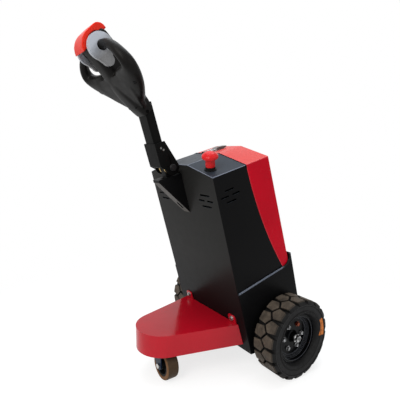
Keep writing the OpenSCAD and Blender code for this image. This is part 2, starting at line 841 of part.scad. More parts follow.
// Head body from the neck to the end of the pod. Columns: length as a share of the hub's,
// width beyond the pod on each side, underside, upper side, squareness below and above
body_rows = [
    [-0.03, -7, -30, 22, 0.45, 0.45],
    [0.08, -4, -34, 27, 0.50, 0.50],
    [0.23, -2, -36, 34, 0.60, 0.60],
    [0.40, -3, -36, 40, 0.65, 0.60],
    [0.57, -4, -32, 46, 0.65, 0.55],
    [0.72, -2, -27, 53, 0.60, 0.40],
    [0.85, 0, -24, 60, 0.55, 0.25],
    [0.99, 0, -24, 62, 0.55, 0.25],
    [1.09, 0, -22, 60, 0.55, 0.25],
    [1.17, -2, 0, 40, 0.40, 0.30]
];
body_sides = 28;
module body_skin(grow = 0) {
    skin([for (row = smooth_rows(body_rows, 2)) [for (k = [1 : body_sides])
        let (turn = 360 * k / body_sides, mid = (row[2] + row[3]) / 2, half = (row[3] - row[2]) / 2 + grow,
            power = turn < 180 ? row[5] : row[4])
        [mid + half * squared(sin(turn), power),
            (pod_w / 2 + row[1] + grow) * squared(cos(turn), power),
            row[0] * hub_s]]]);
}

module head_body() {
    color([0.08, 0.08, 0.09])
    difference() {
        head_frame() body_skin();
        arm_frame() translate([-arm_set - arm_t / 2, -arm_w / 2, 0]) cube([arm_t, arm_w, arm_end]);
    }
}

// Hand loop from the hub round to the neck. Columns: outer edge and inner edge, each as a share of the
// loop's reach and of the hub's length, then rise and half thickness beyond the bar's
loop_rows = [
    [0.24, 1.060, 0.24, 0.940, 17, -6],
    [0.41, 1.060, 0.41, 0.940, 17, -6],
    [0.60, 1.035, 0.56, 0.930, 12, -5],
    [0.78, 0.975, 0.67, 0.885, 4, -3],
    [0.91, 0.890, 0.76, 0.825, -4, -1],
    [0.99, 0.785, 0.80, 0.765, -9, 1],
    [1.00, 0.665, 0.74, 0.730, -10, 2],
    [0.92, 0.525, 0.56, 0.710, -9, 3],
    [0.75, 0.385, 0.33, 0.690, -7, 5],
    [0.53, 0.265, 0.20, 0.560, -5, 6],
    [0.31, 0.170, 0.16, 0.360, -2, 6],
    [0.16, 0.110, 0.11, 0.225, 0, 3]
];
loop_sides = 20;
module loop_skin() {
    skin([for (row = smooth_rows(loop_rows, 2))
        let (outer = [row[0] * loop_half, row[1] * hub_s], inner = [row[2] * loop_half, row[3] * hub_s])
        [for (k = [1 : loop_sides])
            let (turn = 360 * k / loop_sides,
                place = (outer + inner) / 2 + (inner - outer) / 2 * squared(cos(turn), 0.9))
            [row[4] + (bar_t + row[5]) * squared(sin(turn), 0.9), place[0], place[1]]]]);
}

module head_loops() {
    color([0.08, 0.08, 0.09])
    head_frame() for (side = [0, 1]) mirror([0, side, 0]) difference() {
        loop_skin();
        body_skin(seat_gap);
        translate([-far / 2, -far, hub_s * 0.8]) cube([far, far + pod_w / 2 + seat_gap, far]);
    }
}

module thumb_levers() {
    color([0.62, 0.63, 0.64])
    head_frame() for (side = [0, 1]) mirror([0, side, 0])
        translate([hub_t, pod_w / 2 + seat_gap + lever_t, hub_s]) rotate([90, 0, 0])
        linear_extrude(height = lever_t)
        difference() {
            union() {
                circle(r = lever_r);
                translate([-tongue_drop, -tongue_s]) circle(r = tongue_r);
                polygon([
                    [-lever_r * 0.98, 0], [-tongue_drop - tongue_r * 0.98, -tongue_s],
                    [tongue_r * 0.98 - tongue_drop, -tongue_s], [lever_r * 0.6, -lever_r * 0.5], [0, 0]
                ]);
            }
            translate([loop_rows[0][4] - hub_t, 0]) circle(r = bar_t - 5 + lever_gap);
        }
}

// Side outline of the belly button, round with a full upper corner
module belly_outline() {
    corner = [belly_top - belly_corner_r, belly_r - belly_corner_r];
    circle(r = belly_r);
    square([corner[0], belly_r]);
    square([belly_top, corner[1]]);
    translate(corner) circle(r = belly_corner_r);
}

module belly_button() {
    color([0.80, 0.10, 0.06])
    head_frame() difference() {
        across(pod_w - 6) difference() {
            translate([belly_t, belly_s]) belly_outline();
            translate([hub_t, hub_s + belly_cut]) rotate([0, 0, 2])
                translate([-far, -far]) square([2 * far, far]);
        }
        body_skin(seat_gap);
    }
}

module stop_frame() {
    lean_frame() translate([stop_u, -stop_v, shoulder_w + (half_w - stop_v) * tan(slope)])
        rotate([slope, 0, 0]) children();
}

module stop_base() {
    color([0.07, 0.07, 0.07])
    stop_frame() {
        cylinder(r = stop_stem_r + 5, h = 4);
        cylinder(r = stop_stem_r + 1, h = 12);
    }
}

module stop_button() {
    color([0.78, 0.06, 0.08])
    stop_frame() rotate_extrude() {
        translate([0, 12]) square([stop_stem_r, stop_h - 12 - stop_r * 0.8]);
        intersection() {
            translate([0, stop_h - stop_r * 1.25]) circle(r = stop_r * 1.25);
            translate([0, stop_h - stop_r * 0.8]) square([stop_r, stop_r]);
        }
    }
}

// Draw latch across the roof seam: hook on the shell, bail, and base and lever on the cover
module cover_latch() {
    bail_v = latch_v * 0.36;
    color([0.30, 0.30, 0.31])
    lean_frame() translate([roof_seam_u, 0, roof_w]) {
        along(-latch_u * 0.16, -latch_u * 0.03)
            translate([-latch_v / 2, 0]) square([latch_v, latch_h * 0.8]);
        along(latch_u * 0.30, latch_u * 0.85) translate([-latch_v / 2, 0]) square([latch_v, latch_h * 0.3]);
        for (side = [-1, 1]) along(-latch_u * 0.1, latch_u * 0.5)
            translate([side * bail_v, latch_h * 0.55]) circle(r = latch_h * 0.2);
        across(latch_v * 0.9) polygon([
            [latch_u * 0.42, 0], [latch_u * 0.42, latch_h * 0.85], [latch_u * 0.55, latch_h],
            [latch_u, latch_h * 0.7], [latch_u, latch_h * 0.35], [latch_u * 0.7, 0]
        ]);
    }
}

module hitch_bracket() {
    color([0.09, 0.09, 0.10])
    difference() {
        union() {
            translate([back_x - shelf_w, -shelf_w / 2, hitch_z - shelf_t])
                cube([shelf_w + shelf_end - back_x, shelf_w, shelf_t]);
            for (side = [-1, 1]) translate([0, side * (shelf_w / 2 - 5), hitch_z - shelf_t])
                across(10) polygon([[back_x - shelf_w, 0], [shelf_end - 12, 0], [shelf_end - 20, -12],
                    [back_x + 20, -80], [back_x - shelf_w, -80]]);
        }
        lean_frame() translate([collar_back - far, -far / 2, -far]) cube([far, far, 2 * far]);
        translate([pin_x, 0, 0]) cylinder(r = stud_r, h = far);
    }
}

module tow_pin() {
    color([0.70, 0.70, 0.70])
    translate([pin_x, 0, hitch_z]) {
        rotate_extrude() polygon([
            [0, -shelf_t - 16], [stud_r, -shelf_t - 16], [stud_r, 0], [tow_r, 0],
            [tow_r, tow_h - 6], [tow_r - 5, tow_h], [0, tow_h]
        ]);
        translate([0, 0, -shelf_t - 10]) cylinder(r = tow_r + 4, h = 10, $fn = 6);
    }
}

// Frame of a wheel, with Y running out from the middle of the tractor
module wheel_frame(side) {
    mirror([0, side > 0 ? 0 : 1, 0]) translate([0, 0, tyre_r]) children();
}

// Section of a wheel piece turned about the axle: X is radius, Y the way out
module turned() {
    rotate([-90, 0, 0]) rotate_extrude() children();
}

// Half section of the tyre under its blocks, from the middle to one side
wheel_mid = (wheel_in + wheel_out) / 2;
half_tyre = tyre_w / 2;
seat_r = rim_r - rim_lip;
side_step = 2;
bead_r = rim_r + 2;
rib_r = bead_r + bead_slope + 2 * side_step;
module carcass_section() {
    polygon([
        [seat_r, 0], [seat_r, rim_out - wheel_mid], [bead_r, rim_out - wheel_mid],
        [bead_r + side_step, half_tyre - rim_inset * 0.6],
        [bead_r + bead_slope * 0.5, half_tyre - rim_inset * 0.2],
        [bead_r + bead_slope, half_tyre], [rib_r, half_tyre],
        [rib_r + side_step, half_tyre - side_step],
        [tyre_r - shoulder_drop - 3 * side_step, half_tyre - side_step],
        [tyre_r - shoulder_drop - 2 * side_step, half_tyre], [tyre_r - shoulder_drop, half_tyre],
        [tyre_r - tread_depth, half_tyre - tread_slope - side_step], [tyre_r - tread_depth, 0]
    ]);
}

// Half section of the ring that the tread blocks are cut from
module tread_section() {
    low_r = tyre_r - shoulder_drop - side_step;
    polygon([
        [low_r, -block_corner], [low_r, half_tyre], [tyre_r - shoulder_drop, half_tyre],
        [tyre_r, half_tyre - tread_slope], [tyre_r, -block_corner]
    ]);
}

// Outline of one tread block: X along the tread, Y from the middle of the tyre to its side
module block_outline() {
    half = PI * tyre_r / block_count - block_gap / 2;
    polygon([
        [0, -block_point], [half, block_corner], [half - block_taper, half_tyre + 1],
        [block_taper - half, half_tyre + 1], [-half, block_corner]
    ]);
}

// One row of tread blocks on the way out from the tyre's middle
module block_row() {
    intersection() {
        turned() tread_section();
        for (k = [0 : block_count - 1]) rotate([0, k * 360 / block_count, 0])
            translate([0, 0, tyre_r - shoulder_drop - side_step])
            linear_extrude(height = 2 * shoulder_drop) block_outline();
    }
}

module tyre(side) {
    color([0.12, 0.12, 0.12])
    wheel_frame(side) translate([0, wheel_mid, 0]) {
        for (way = [0, 1]) mirror([0, way, 0]) turned() carcass_section();
        block_row();
        rotate([0, 180 / block_count, 0]) mirror([0, 1, 0]) block_row();
    }
}

module rim(side) {
    color([0.10, 0.10, 0.11])
    wheel_frame(side) turned() {
        translate([seat_r - rim_wall, rim_in]) square([rim_wall, rim_out - rim_in]);
        translate([seat_r - rim_wall, rim_out]) square([rim_wall + rim_lip, rim_lip]);
        translate([seat_r - 2 * rim_wall, disc_out]) square([rim_wall, dish_depth * 0.4]);
        translate([seat_r - 3 * rim_wall, disc_out]) square([2 * rim_wall, dish_depth * 0.15]);
        translate([centre_nut_r - rim_lip, disc_out - disc_t]) square([seat_r - centre_nut_r, disc_t]);
    }
}

module hub(side) {
    color([0.35, 0.36, 0.37])
    wheel_frame(side) turned() {
        translate([0, flange_in]) square([flange_r, flange_t]);
        translate([0, disc_out - disc_t]) square([centre_nut_r - rim_lip, disc_t]);
        polygon([
            [0, disc_out], [nose_r + 4, disc_out], [nose_r, disc_out + 4],
            [nose_r - 4, disc_out + nose_h], [0, disc_out + nose_h]
        ]);
        translate([0, gear_w / 2 + 40]) square([shaft_r, flange_in - gear_w / 2 - 40]);
    }
}

module wheel_bolts(side) {
    color([0.75, 0.76, 0.77])
    wheel_frame(side) translate([0, disc_out, 0]) rotate([-90, 0, 0]) {
        translate([0, 0, nose_h]) cylinder(r = centre_nut_r, h = 2 * washer_t);
        translate([0, 0, nose_h]) cylinder(r = centre_nut_r - 3, h = 16, $fn = 6);
        for (k = [1 : bolt_count]) rotate([0, 0, k * 360 / bolt_count]) translate([bolt_circle_r, 0, 0]) {
            cylinder(r = wheel_bolt_r * 1.25, h = washer_t);
            cylinder(r = wheel_bolt_r, h = wheel_bolt_h, $fn = 6);
        }
    }
}

module tyre_right() tyre(-1);
module rim_right() rim(-1);
module hub_right() hub(-1);
module wheel_bolts_right() wheel_bolts(-1);
module tyre_left() tyre(1);
module rim_left() rim(1);
module hub_left() hub(1);
module wheel_bolts_left() wheel_bolts(1);

translate([-x_mid, 0, 0]) {
    tower_shell();
    rear_cover();
    base_collar();
    floor_plate();
    battery_pack();
    transaxle();
    drive_motor();
    caster_platform();
    platform_bolts();
    caster_beam();
    caster_top_plate();
    tiller_mount();
    pivot_bushes();
    pivot_bolt();
    stop_base();
    stop_button();
    cover_latch();
    hitch_bracket();
    tow_pin();
    tyre_right();
    rim_right();
    hub_right();
    wheel_bolts_right();
    tyre_left();
    rim_left();
    hub_left();
    wheel_bolts_left();
    caster_fork();
    caster_axle();
    caster_core();
    caster_tread();
    tiller_bracket();
    bracket_screws();
    tiller_arm();
    head_body();
    head_loops();
    thumb_levers();
    belly_button();
}
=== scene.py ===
"""Looks of the electric tow tractor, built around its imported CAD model. Metres, in the part's frame."""
import math

import bmesh
import bpy
from mathutils import Matrix, Vector


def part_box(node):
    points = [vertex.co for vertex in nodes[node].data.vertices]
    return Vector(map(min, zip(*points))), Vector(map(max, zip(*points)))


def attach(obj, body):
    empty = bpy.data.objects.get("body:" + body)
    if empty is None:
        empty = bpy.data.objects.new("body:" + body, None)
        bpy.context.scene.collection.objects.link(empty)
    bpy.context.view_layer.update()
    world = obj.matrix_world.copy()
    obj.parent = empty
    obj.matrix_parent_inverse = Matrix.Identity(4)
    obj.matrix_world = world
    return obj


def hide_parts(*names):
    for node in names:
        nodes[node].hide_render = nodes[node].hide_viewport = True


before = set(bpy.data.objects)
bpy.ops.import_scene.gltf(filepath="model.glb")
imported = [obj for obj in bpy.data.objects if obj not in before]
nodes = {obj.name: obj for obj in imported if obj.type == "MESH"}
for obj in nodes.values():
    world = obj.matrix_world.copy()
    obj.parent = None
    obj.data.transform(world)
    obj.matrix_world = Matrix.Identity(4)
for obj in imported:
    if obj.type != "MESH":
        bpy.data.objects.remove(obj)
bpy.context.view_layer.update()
scene = bpy.context.scene

# Sides of the part, and their directions along Y
SIDES = (("right", -1), ("left", 1))


def middle(node):
    """Middle of a CAD node's box."""
    low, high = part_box(node)
    return (low + high) / 2


# Middles and radii of the right drive wheel and of the caster wheel
wheel = middle("tyre_right")
TYRE_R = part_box("tyre_right")[1].z - wheel.z
caster = middle("caster_tread")
CASTER_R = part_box("caster_tread")[1].z - caster.z

# Directions of the leaning tower
LEAN = math.radians(15.1)
LEAN_UP = (-math.sin(LEAN), 0.0, math.cos(LEAN))
LEAN_DOWN = (math.sin(LEAN), 0.0, -math.cos(LEAN))
LEAN_FRONT = (-math.cos(LEAN), 0.0, -math.sin(LEAN))
LEAN_BACK = (math.cos(LEAN), 0.0, math.sin(LEAN))


def lean_top(node):
    """Greatest height of a CAD node along the leaning tower."""
    return max(v.co.dot(Vector(LEAN_UP)) for v in nodes[node].data.vertices)


def lean_point(u, v, w):
    """Point from its depth, width and height in the leaning tower's own directions."""
    return Vector((u * math.cos(LEAN) - w * math.sin(LEAN), v, u * math.sin(LEAN) + w * math.cos(LEAN)))


# Heights along the tower above which its roof edges and the collar's top edges lie
ROOF_EDGES = lean_top("tower_shell") - 0.048
COLLAR_EDGES = lean_top("base_collar") - 0.050

# Tiller head: its tilt, its directions along and out of its upper face, and where its lower end meets the arm
HEAD_TILT = math.radians(46.5)
HEAD_UP = Vector((-math.sin(HEAD_TILT), 0.0, math.cos(HEAD_TILT)))
HEAD_OUT = Vector((math.cos(HEAD_TILT), 0.0, math.sin(HEAD_TILT)))
HEAD_FOOT = Vector((-0.24136, 0.0, 1.08039))


def head_point(t, y, s):
    """Point from its distance out of the head's upper face, across the head and along it."""
    return HEAD_FOOT + t * HEAD_OUT + Vector((0.0, y, 0.0)) + s * HEAD_UP


# Camera, where the photograph was taken from
CAMERA_FROM_AXLE = Vector((-1.1608, -1.3095, 0.9398))
CAMERA_YAW = math.radians(55.07)
CAMERA_PITCH = math.radians(-7.88)
CAMERA_LENS = 33.97
CAMERA_SENSOR = 36.0


def add_camera():
    """Pinhole camera, level, looking along its yaw and pitch."""
    data = bpy.data.cameras.new("photo_camera")
    data.lens = CAMERA_LENS
    data.sensor_width = CAMERA_SENSOR
    camera = bpy.data.objects.new("photo_camera", data)
    scene.collection.objects.link(camera)
    camera.location = Vector((wheel.x, 0.0, 0.0)) + CAMERA_FROM_AXLE
    camera.rotation_euler = (math.pi / 2 + CAMERA_PITCH, 0.0, CAMERA_YAW - math.pi / 2)
    scene.camera = camera


# Materials

# Roughness of all noise, and the span of its values over which a surface turns from smooth to rough
NOISE_ROUGHNESS = 0.55
NOISE_SPAN = (0.3, 0.7)

# Scale and depth of the scratches in bare metal
SCRATCHES = 420.0
SCRATCH_DEPTH = 0.00004


def set_sockets(node, **values):
    """Sets a node's sockets by name, with spaces written as underscores."""
    for key, value in values.items():
        node.inputs[key.replace("_", " ")].default_value = value


def new_node(tree, kind, **values):
    """New shader node with some of its sockets set."""
    node = tree.nodes.new("ShaderNode" + kind)
    set_sockets(node, **values)
    return node


class Shader:
    """A material's node tree, with short names for the nodes used here."""

    def __init__(self, name, **values):
        self.material = bpy.data.materials.new(name)
        self.material.use_nodes = True
        self.tree = self.material.node_tree
        self.bsdf = self.tree.nodes["Principled BSDF"]
        set_sockets(self.bsdf, **values)
        self.space = new_node(self.tree, "TexCoord").outputs["Object"]

    def link(self, source, target):
        self.tree.links.new(source, target)

    def feed(self, socket, value):
        """Puts a number, a colour or another node's output into a socket."""
        if isinstance(value, (int, float)):
            socket.default_value = value
        elif isinstance(value, tuple):
            socket.default_value = (*value, 1.0)
        else:
            self.link(value, socket)

    def noise(self, scale, detail=3.0):
        node = new_node(self.tree, "TexNoise", Scale=scale, Detail=detail, Roughness=NOISE_ROUGHNESS)
        self.link(self.space, node.inputs["Vector"])
        return node.outputs["Fac"]

    def ramp(self, value, low, high, out_low=0.0, out_high=1.0):
        node = new_node(self.tree, "MapRange", From_Min=low, From_Max=high, To_Min=out_low, To_Max=out_high)
        self.link(value, node.inputs["Value"])
        return node.outputs["Result"]

    def patches(self, scale, low, high, out_low=0.0, out_high=1.0, detail=3.0):
        """Noise, with its values from low to high spread over the output range."""
        return self.ramp(self.noise(scale, detail), low, high, out_low, out_high)

    def math(self, operation, a, b=0.0):
        node = new_node(self.tree, "Math")
        node.operation = operation
        self.feed(node.inputs[0], a)
        self.feed(node.inputs[1], b)
        return node.outputs[0]

    def product(self, first, *others):
        for other in others:
            first = self.math("MULTIPLY", first, other)
        return first

    def wave(self, value, frequency):
        """Sine of a value, with its frequency in radians per metre."""
        return self.math("SINE", self.product(value, frequency))

    def mix(self, factor, a, b):
        """Mix of two colours, through the node's colour sockets."""
        node = new_node(self.tree, "Mix")
        node.data_type = "RGBA"
        self.feed(node.inputs["Factor"], factor)
        self.feed(node.inputs[6], a)
        self.feed(node.inputs[7], b)
        return node.outputs[2]

    def along(self, direction, vector=None):
        """Object coordinates, or another vector, measured along a direction."""
        node = new_node(self.tree, "VectorMath")
        node.operation = "DOT_PRODUCT"
        self.link(vector or self.space, node.inputs[0])
        node.inputs[1].default_value = direction
        return node.outputs["Value"]

    def facing(self, direction):
        """How far the surface faces a direction of the part's frame."""
        return self.along(direction, new_node(self.tree, "NewGeometry").outputs["True Normal"])

    def split(self):
        """Object coordinates, one socket each."""
        node = new_node(self.tree, "SeparateXYZ")
        self.link(self.space, node.inputs[0])
        return node.outputs

    def polar(self, across, up, centre):
        """Distance from an axle and angle round it, from two coordinates and the axle's place in them."""
        a = self.math("SUBTRACT", across, centre[0])
        b = self.math("SUBTRACT", up, centre[1])
        squares = self.math("ADD", self.product(a, a), self.product(b, b))
        return self.math("SQRT", squares), self.math("ARCTAN2", b, a)

    def band(self, value, low, high, soft):
        """Factor that is 1 between two values, with soft ends."""
        return self.product(self.ramp(value, low - soft, low), self.ramp(value, high + soft, high))

    def color(self, socket):
        self.link(socket, self.bsdf.inputs["Base Color"])

    def rough(self, scale, low, high, detail=3.0):
        """Roughness that wanders between two values."""
        self.link(self.patches(scale, *NOISE_SPAN, low, high, detail), self.bsdf.inputs["Roughness"])

    def bump(self, height, distance, strength):
        node = new_node(self.tree, "Bump", Strength=strength, Distance=distance)
        self.link(height, node.inputs["Height"])
        self.link(node.outputs["Normal"], self.bsdf.inputs["Normal"])

    def scratch(self, scale=SCRATCHES):
        """Fine scratches of bare metal."""
        self.bump(self.noise(scale, 2.0), SCRATCH_DEPTH, 0.3)


def shade(color, level):
    """A colour made darker or lighter."""
    return tuple(level * c for c in color)


# Painted sheet: settled dust, how dark soiled paint is, and the scale and depth of orange peel
PALE_DUST = (0.16, 0.15, 0.14)
SOILED = 0.84
PEEL = 700.0
PEEL_DEPTH = 0.00008

# How dark dull steel is, and how much paler handled plastic gets
DULL = 0.72
HANDLED_GAIN = 1.35
HANDLED_LIFT = 0.002

# Blur of what is told apart by its angle round an axle
TURN_BLUR = 0.02


def coat(name, base, roughness, specular, dust=0.08, bright=()):
    """Painted sheet with orange peel, faint soiling and settled dust, and with painted sheen and painted
    highlights where bright lists them.

    bright lists the colours of painted sheen and painted highlights, and of the plain coat where these end,
    what picks them ("facing" or "along"), the direction, and the values along it from which and to which each
    colour comes in.
    """
    s = Shader(name, Metallic=0.0, Specular_IOR_Level=specular)
    soiled = s.patches(5.0, 0.35, 0.75, detail=4.0)
    skin = s.mix(soiled, base, shade(base, SOILED))
    # painted sheen and painted highlights, laid over the coat where a face looks one way or lies above a
    # height
    for color, picks, direction, low, high in bright:
        value = s.facing(direction) if picks == "facing" else s.along(direction)
        skin = s.mix(s.ramp(value, low, high), skin, color)
    if dust:
        specks = s.patches(210.0, 0.62, 0.80, detail=2.0)
        drifts = s.patches(9.0, 0.4, 0.7, 0.0, dust)
        skin = s.mix(s.product(specks, drifts), skin, PALE_DUST)
    s.color(skin)
    s.rough(30.0, roughness - 0.04, roughness + 0.05)
    s.bump(s.noise(PEEL, 1.0), PEEL_DEPTH, 0.25)
    return s.material


def steel(name, base, roughness, scratches=SCRATCHES):
    """Plated or turned steel with fine scratches and dull patches."""
    s = Shader(name, Metallic=1.0)
    s.color(s.mix(s.patches(30.0, 0.35, 0.7), base, shade(base, DULL)))
    s.rough(scratches, roughness - 0.06, roughness + 0.10, detail=2.0)
    s.scratch(scratches)
    return s.material


def plastic(name, base, roughness, grain, depth, specular=0.3):
    """Moulded plastic with an even fine grain and a few paler, handled patches."""
    s = Shader(name, Metallic=0.0, Specular_IOR_Level=specular)
    handled = s.patches(14.0, 0.52, 0.72, 0.0, 0.5, detail=4.0)
    s.color(s.mix(handled, base, tuple(HANDLED_GAIN * c + HANDLED_LIFT for c in base)))
    s.rough(25.0, roughness - 0.05, roughness + 0.06)
    s.bump(s.noise(grain, 1.0), depth, 0.4)
    return s.material


# Drive tyres: colours, with a painted highlight for the rib, radii where the sidewall ends, of the rib's
# painted highlight and of the dusty block tops, fine rings on the sidewall, and how much the mark narrows
RUBBER = (0.0045, 0.0045, 0.0045)
SIDEWALL = (0.0095, 0.0095, 0.0100)
RIB_HIGHLIGHT = (0.060, 0.060, 0.062)
DUST = (0.098, 0.077, 0.058)
MARK_ORANGE = (0.56, 0.17, 0.035)
SHOULDER_R = TYRE_R - 0.016
SHOULDER_BLUR = 0.003
RIB_R = (SHOULDER_R - 0.0032, SHOULDER_R - 0.0018)
RIB_BLUR = 0.0006
TOPS_R = (TYRE_R - 0.0045, TYRE_R - 0.0010)
TYRE_RINGS = 1500.0
MARK_TAPER = 0.4


def tyre_rubber(name, mark=None):
    """Solid tyre: dusty block tops, black grooves, ringed sidewall with a painted highlight along its rib,
    and a plain mark if wanted.

    mark holds the angles and the radii between which it lies.
    """
    s = Shader(name, Metallic=0.0, Specular_IOR_Level=0.14)
    place = s.split()
    radius, angle = s.polar(place["X"], place["Z"], (wheel.x, wheel.z))
    wall = s.ramp(radius, SHOULDER_R + SHOULDER_BLUR, SHOULDER_R)
    chalky = s.patches(22.0, *NOISE_SPAN, 0.5, 1.0, detail=4.0)
    base = s.mix(s.product(wall, chalky), RUBBER, SIDEWALL)
    # thin paler ring on the sidewall's rib: a painted highlight
    rib = s.band(radius, *RIB_R, RIB_BLUR)
    base = s.mix(s.product(rib, 0.5), base, RIB_HIGHLIGHT)
    tops = s.ramp(radius, *TOPS_R)
    worn = s.patches(26.0, 0.30, 0.72, 0.30, 1.0, detail=5.0)
    specks = s.patches(150.0, 0.3, 0.6, 0.7, 1.0, detail=2.0)
    skin = s.mix(s.product(tops, worn, specks), base, DUST)
    if mark:
        turn, reach = mark
        narrow = s.ramp(angle, *turn, 0.0, MARK_TAPER * (reach[1] - reach[0]))
        inner = s.ramp(s.math("SUBTRACT", radius, s.math("ADD", narrow, reach[0])), -0.0012, 0.0003)
        outer = s.ramp(radius, reach[1] + 0.001, reach[1])
        outside = s.ramp(place["Y"], wheel.y + 0.02, wheel.y - 0.02)
        rubbed = s.patches(90.0, 0.32, 0.5, 0.55, 1.0)
        patch = s.product(s.band(angle, *turn, TURN_BLUR), inner, outer, outside, rubbed)
        skin = s.mix(patch, skin, MARK_ORANGE)
    s.color(skin)
    s.rough(60.0, 0.50, 0.72)
    rings = s.product(s.wave(radius, TYRE_RINGS), wall, 0.10)
    s.bump(s.math("ADD", rings, s.noise(260.0)), 0.0004, 0.35)
    return s.material


# Caster tread: its flanks, the face's dark and pale lines, how close these lie, and the radii between
# flank and face
FLANK_BROWN = (0.150, 0.068, 0.024)
SCUFF_DARK = (0.030, 0.018, 0.010)
SCUFF_PALE = (0.082, 0.048, 0.025)
CASTER_LINES = 1300.0
FACE_R = (CASTER_R - 0.004, CASTER_R - 0.001)


def caster_rubber(name):
    """Polyurethane tread: paler turned flanks and a scuffed face with fine lines round it."""
    s = Shader(name, Metallic=0.0, Specular_IOR_Level=0.15)
    place = s.split()
    radius, _ = s.polar(place["Y"], place["Z"], (caster.y, caster.z))
    face = s.ramp(radius, *FACE_R)
    lines = s.wave(place["X"], CASTER_LINES)
    scuff = s.mix(s.ramp(lines, -0.4, 0.9), SCUFF_DARK, SCUFF_PALE)
    s.color(s.mix(face, FLANK_BROWN, scuff))
    s.rough(60.0, 0.48, 0.62)
    s.bump(s.math("ADD", s.product(lines, 0.3), s.noise(200.0)), 0.0003, 0.3)
    return s.material


# Cover latch: its three tones, where hook and bail end as shares of its length, and the blur between them
LATCH_HOOK = (0.015, 0.015, 0.016)
LATCH_BAIL = (0.34, 0.34, 0.34)
LATCH_LEVER = (0.085, 0.08, 0.077)
LATCH_ENDS = (0.22, 0.52)
LATCH_BLUR = 0.004


def latch_steel(name):
    """Draw latch: blackened hook, bright bail and a satin lever, told apart by their place along the roof."""
    s = Shader(name, Metallic=1.0)
    low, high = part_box("cover_latch")
    place = s.split()["X"]
    skin = LATCH_HOOK
    for share, tone in zip(LATCH_ENDS, (LATCH_BAIL, LATCH_LEVER)):
        end = low.x + share * (high.x - low.x)
        skin = s.mix(s.ramp(place, end - LATCH_BLUR, end + LATCH_BLUR), skin, tone)
    s.color(skin)
    s.rough(200.0, 0.24, 0.42, detail=2.0)
    s.scratch()
    return s.material


# Wheel fasteners: clean and oily steel of the centre nut and of the bolts, primer, and the radius between
# nut and bolts
NUT_STEEL = (0.60, 0.60, 0.60)
NUT_OILY = (0.10, 0.10, 0.10)
BOLT_STEEL = (0.42, 0.42, 0.43)
BOLT_OILY = (0.07, 0.07, 0.07)
BOLT_PRIMER = (0.16, 0.035, 0.015)
NUT_R = 0.030


def wheel_steel(name, red_turn=None):
    """Plated wheel bolts and nut with oily patches, and one bolt with red-brown primer if wanted."""
    s = Shader(name, Metallic=1.0)
    place = s.split()
    radius, angle = s.polar(place["X"], place["Z"], (wheel.x, wheel.z))
    nut = s.mix(s.patches(80.0, 0.35, 0.6), NUT_STEEL, NUT_OILY)
    bolts = s.mix(s.patches(90.0, 0.4, 0.6), BOLT_STEEL, BOLT_OILY)
    skin = s.mix(s.ramp(radius, NUT_R - 0.002, NUT_R + 0.002), nut, bolts)
    if red_turn:
        primed = s.product(s.band(angle, *red_turn, TURN_BLUR), s.ramp(radius, NUT_R, NUT_R + 0.004))
        skin = s.mix(primed, skin, BOLT_PRIMER)
    s.color(skin)
    s.rough(300.0, 0.18, 0.36, detail=2.0)
    s.scratch()
    return s.material


# Thumb levers: painted shade at their lower end and painted highlight at their upper end, flakes, and those
# ends along the head
SILVER_PAINTED_SHADE = (0.135, 0.136, 0.140)
SILVER_PAINTED_HIGHLIGHT = (0.390, 0.420, 0.480)
SILVER_FLAKE = (0.50, 0.52, 0.56)
LEVER_ENDS = (0.238, 0.288)


def silver_plastic(name):
    """Satin silver paint on the thumb levers with fine flakes, darker toward the lower end as painted shade
    and paler toward the upper end as a painted highlight.
    """
    s = Shader(name, Metallic=0.0, Specular_IOR_Level=0.35)
    ends = [head_point(0.0, 0.0, end).dot(HEAD_UP) for end in LEVER_ENDS]
    # painted shade at the levers' lower end, painted highlight at their upper end
    skin = s.mix(s.ramp(s.along(HEAD_UP), *ends), SILVER_PAINTED_SHADE, SILVER_PAINTED_HIGHLIGHT)
    s.color(s.mix(s.patches(1400.0, 0.55, 0.75, 0.0, 0.25, detail=1.0), skin, SILVER_FLAKE))
    s.rough(30.0, 0.24, 0.36)
    s.bump(s.noise(900.0, 1.0), 0.00003, 0.3)
    return s.material


# Vent gauze: its holes, its wires, and how close these lie
GAUZE_HOLE = (0.0006, 0.0006, 0.0006)
GAUZE_WIRE = (0.0018, 0.0018, 0.0018)
GAUZE_LINES = 2400.0


def gauze(name):
    """Fine black wire gauze behind the vents."""
    s = Shader(name, Metallic=0.0, Specular_IOR_Level=0.05, Roughness=0.7)
    place = s.split()
    weave = s.product(s.wave(place["Y"], GAUZE_LINES), s.wave(place["Z"], GAUZE_LINES))
    s.color(s.mix(s.ramp(weave, -0.2, 0.5), GAUZE_HOLE, GAUZE_WIRE))
    s.bump(weave, 0.0002, 0.5)
    return s.material


# Rolled bead along the collar's top edge: its start and the lip's start along the side, its place across
# and up, the lip's rise, the steps of that curve, and the tube's radius
BEAD_U = (0.1275, 0.3854)
BEAD_V = 0.2366
BEAD_W = 0.3475
BEAD_RISE = 0.046
BEAD_STEPS = 12
BEAD_R = 0.0037

# Colours that more than one paint uses, and painted light: painted sheen on faces that look one way, the
# plain coat where that sheen fades, and painted highlights on edges and on the bead
BLACK_COAT = (0.0036, 0.0036, 0.0039)
EDGE_HIGHLIGHT = (0.130, 0.145, 0.185)
BEAD_HIGHLIGHT = (0.105, 0.120, 0.155)
ROOF_SHEEN = (0.0260, 0.0320, 0.0420)
FRONT_SHEEN = (0.0150, 0.0148, 0.0143)
FLANGE_SHEEN = (0.066, 0.060, 0.054)
RED_COVER = (0.475, 0.0030, 0.0140)
RED_TOP_SHEEN = (0.53, 0.070, 0.064)
RED_DECK = (0.44, 0.0036, 0.0140)

# Direction that the mount's flange faces, and the span, measured down the tower, where the front's painted
# sheen ends
FLANGE_FACING = (-0.67, 0.0, -0.74)
SHEEN_FADE = (-0.46, -0.22)

# Angles and radii of the orange mark on the right tyre's sidewall, and angles of the bolt with primer
TYRE_MARK = ((-0.09, 0.46), (TYRE_R - 0.051, TYRE_R - 0.024))
PRIMED_BOLT = (0.75, 1.35)
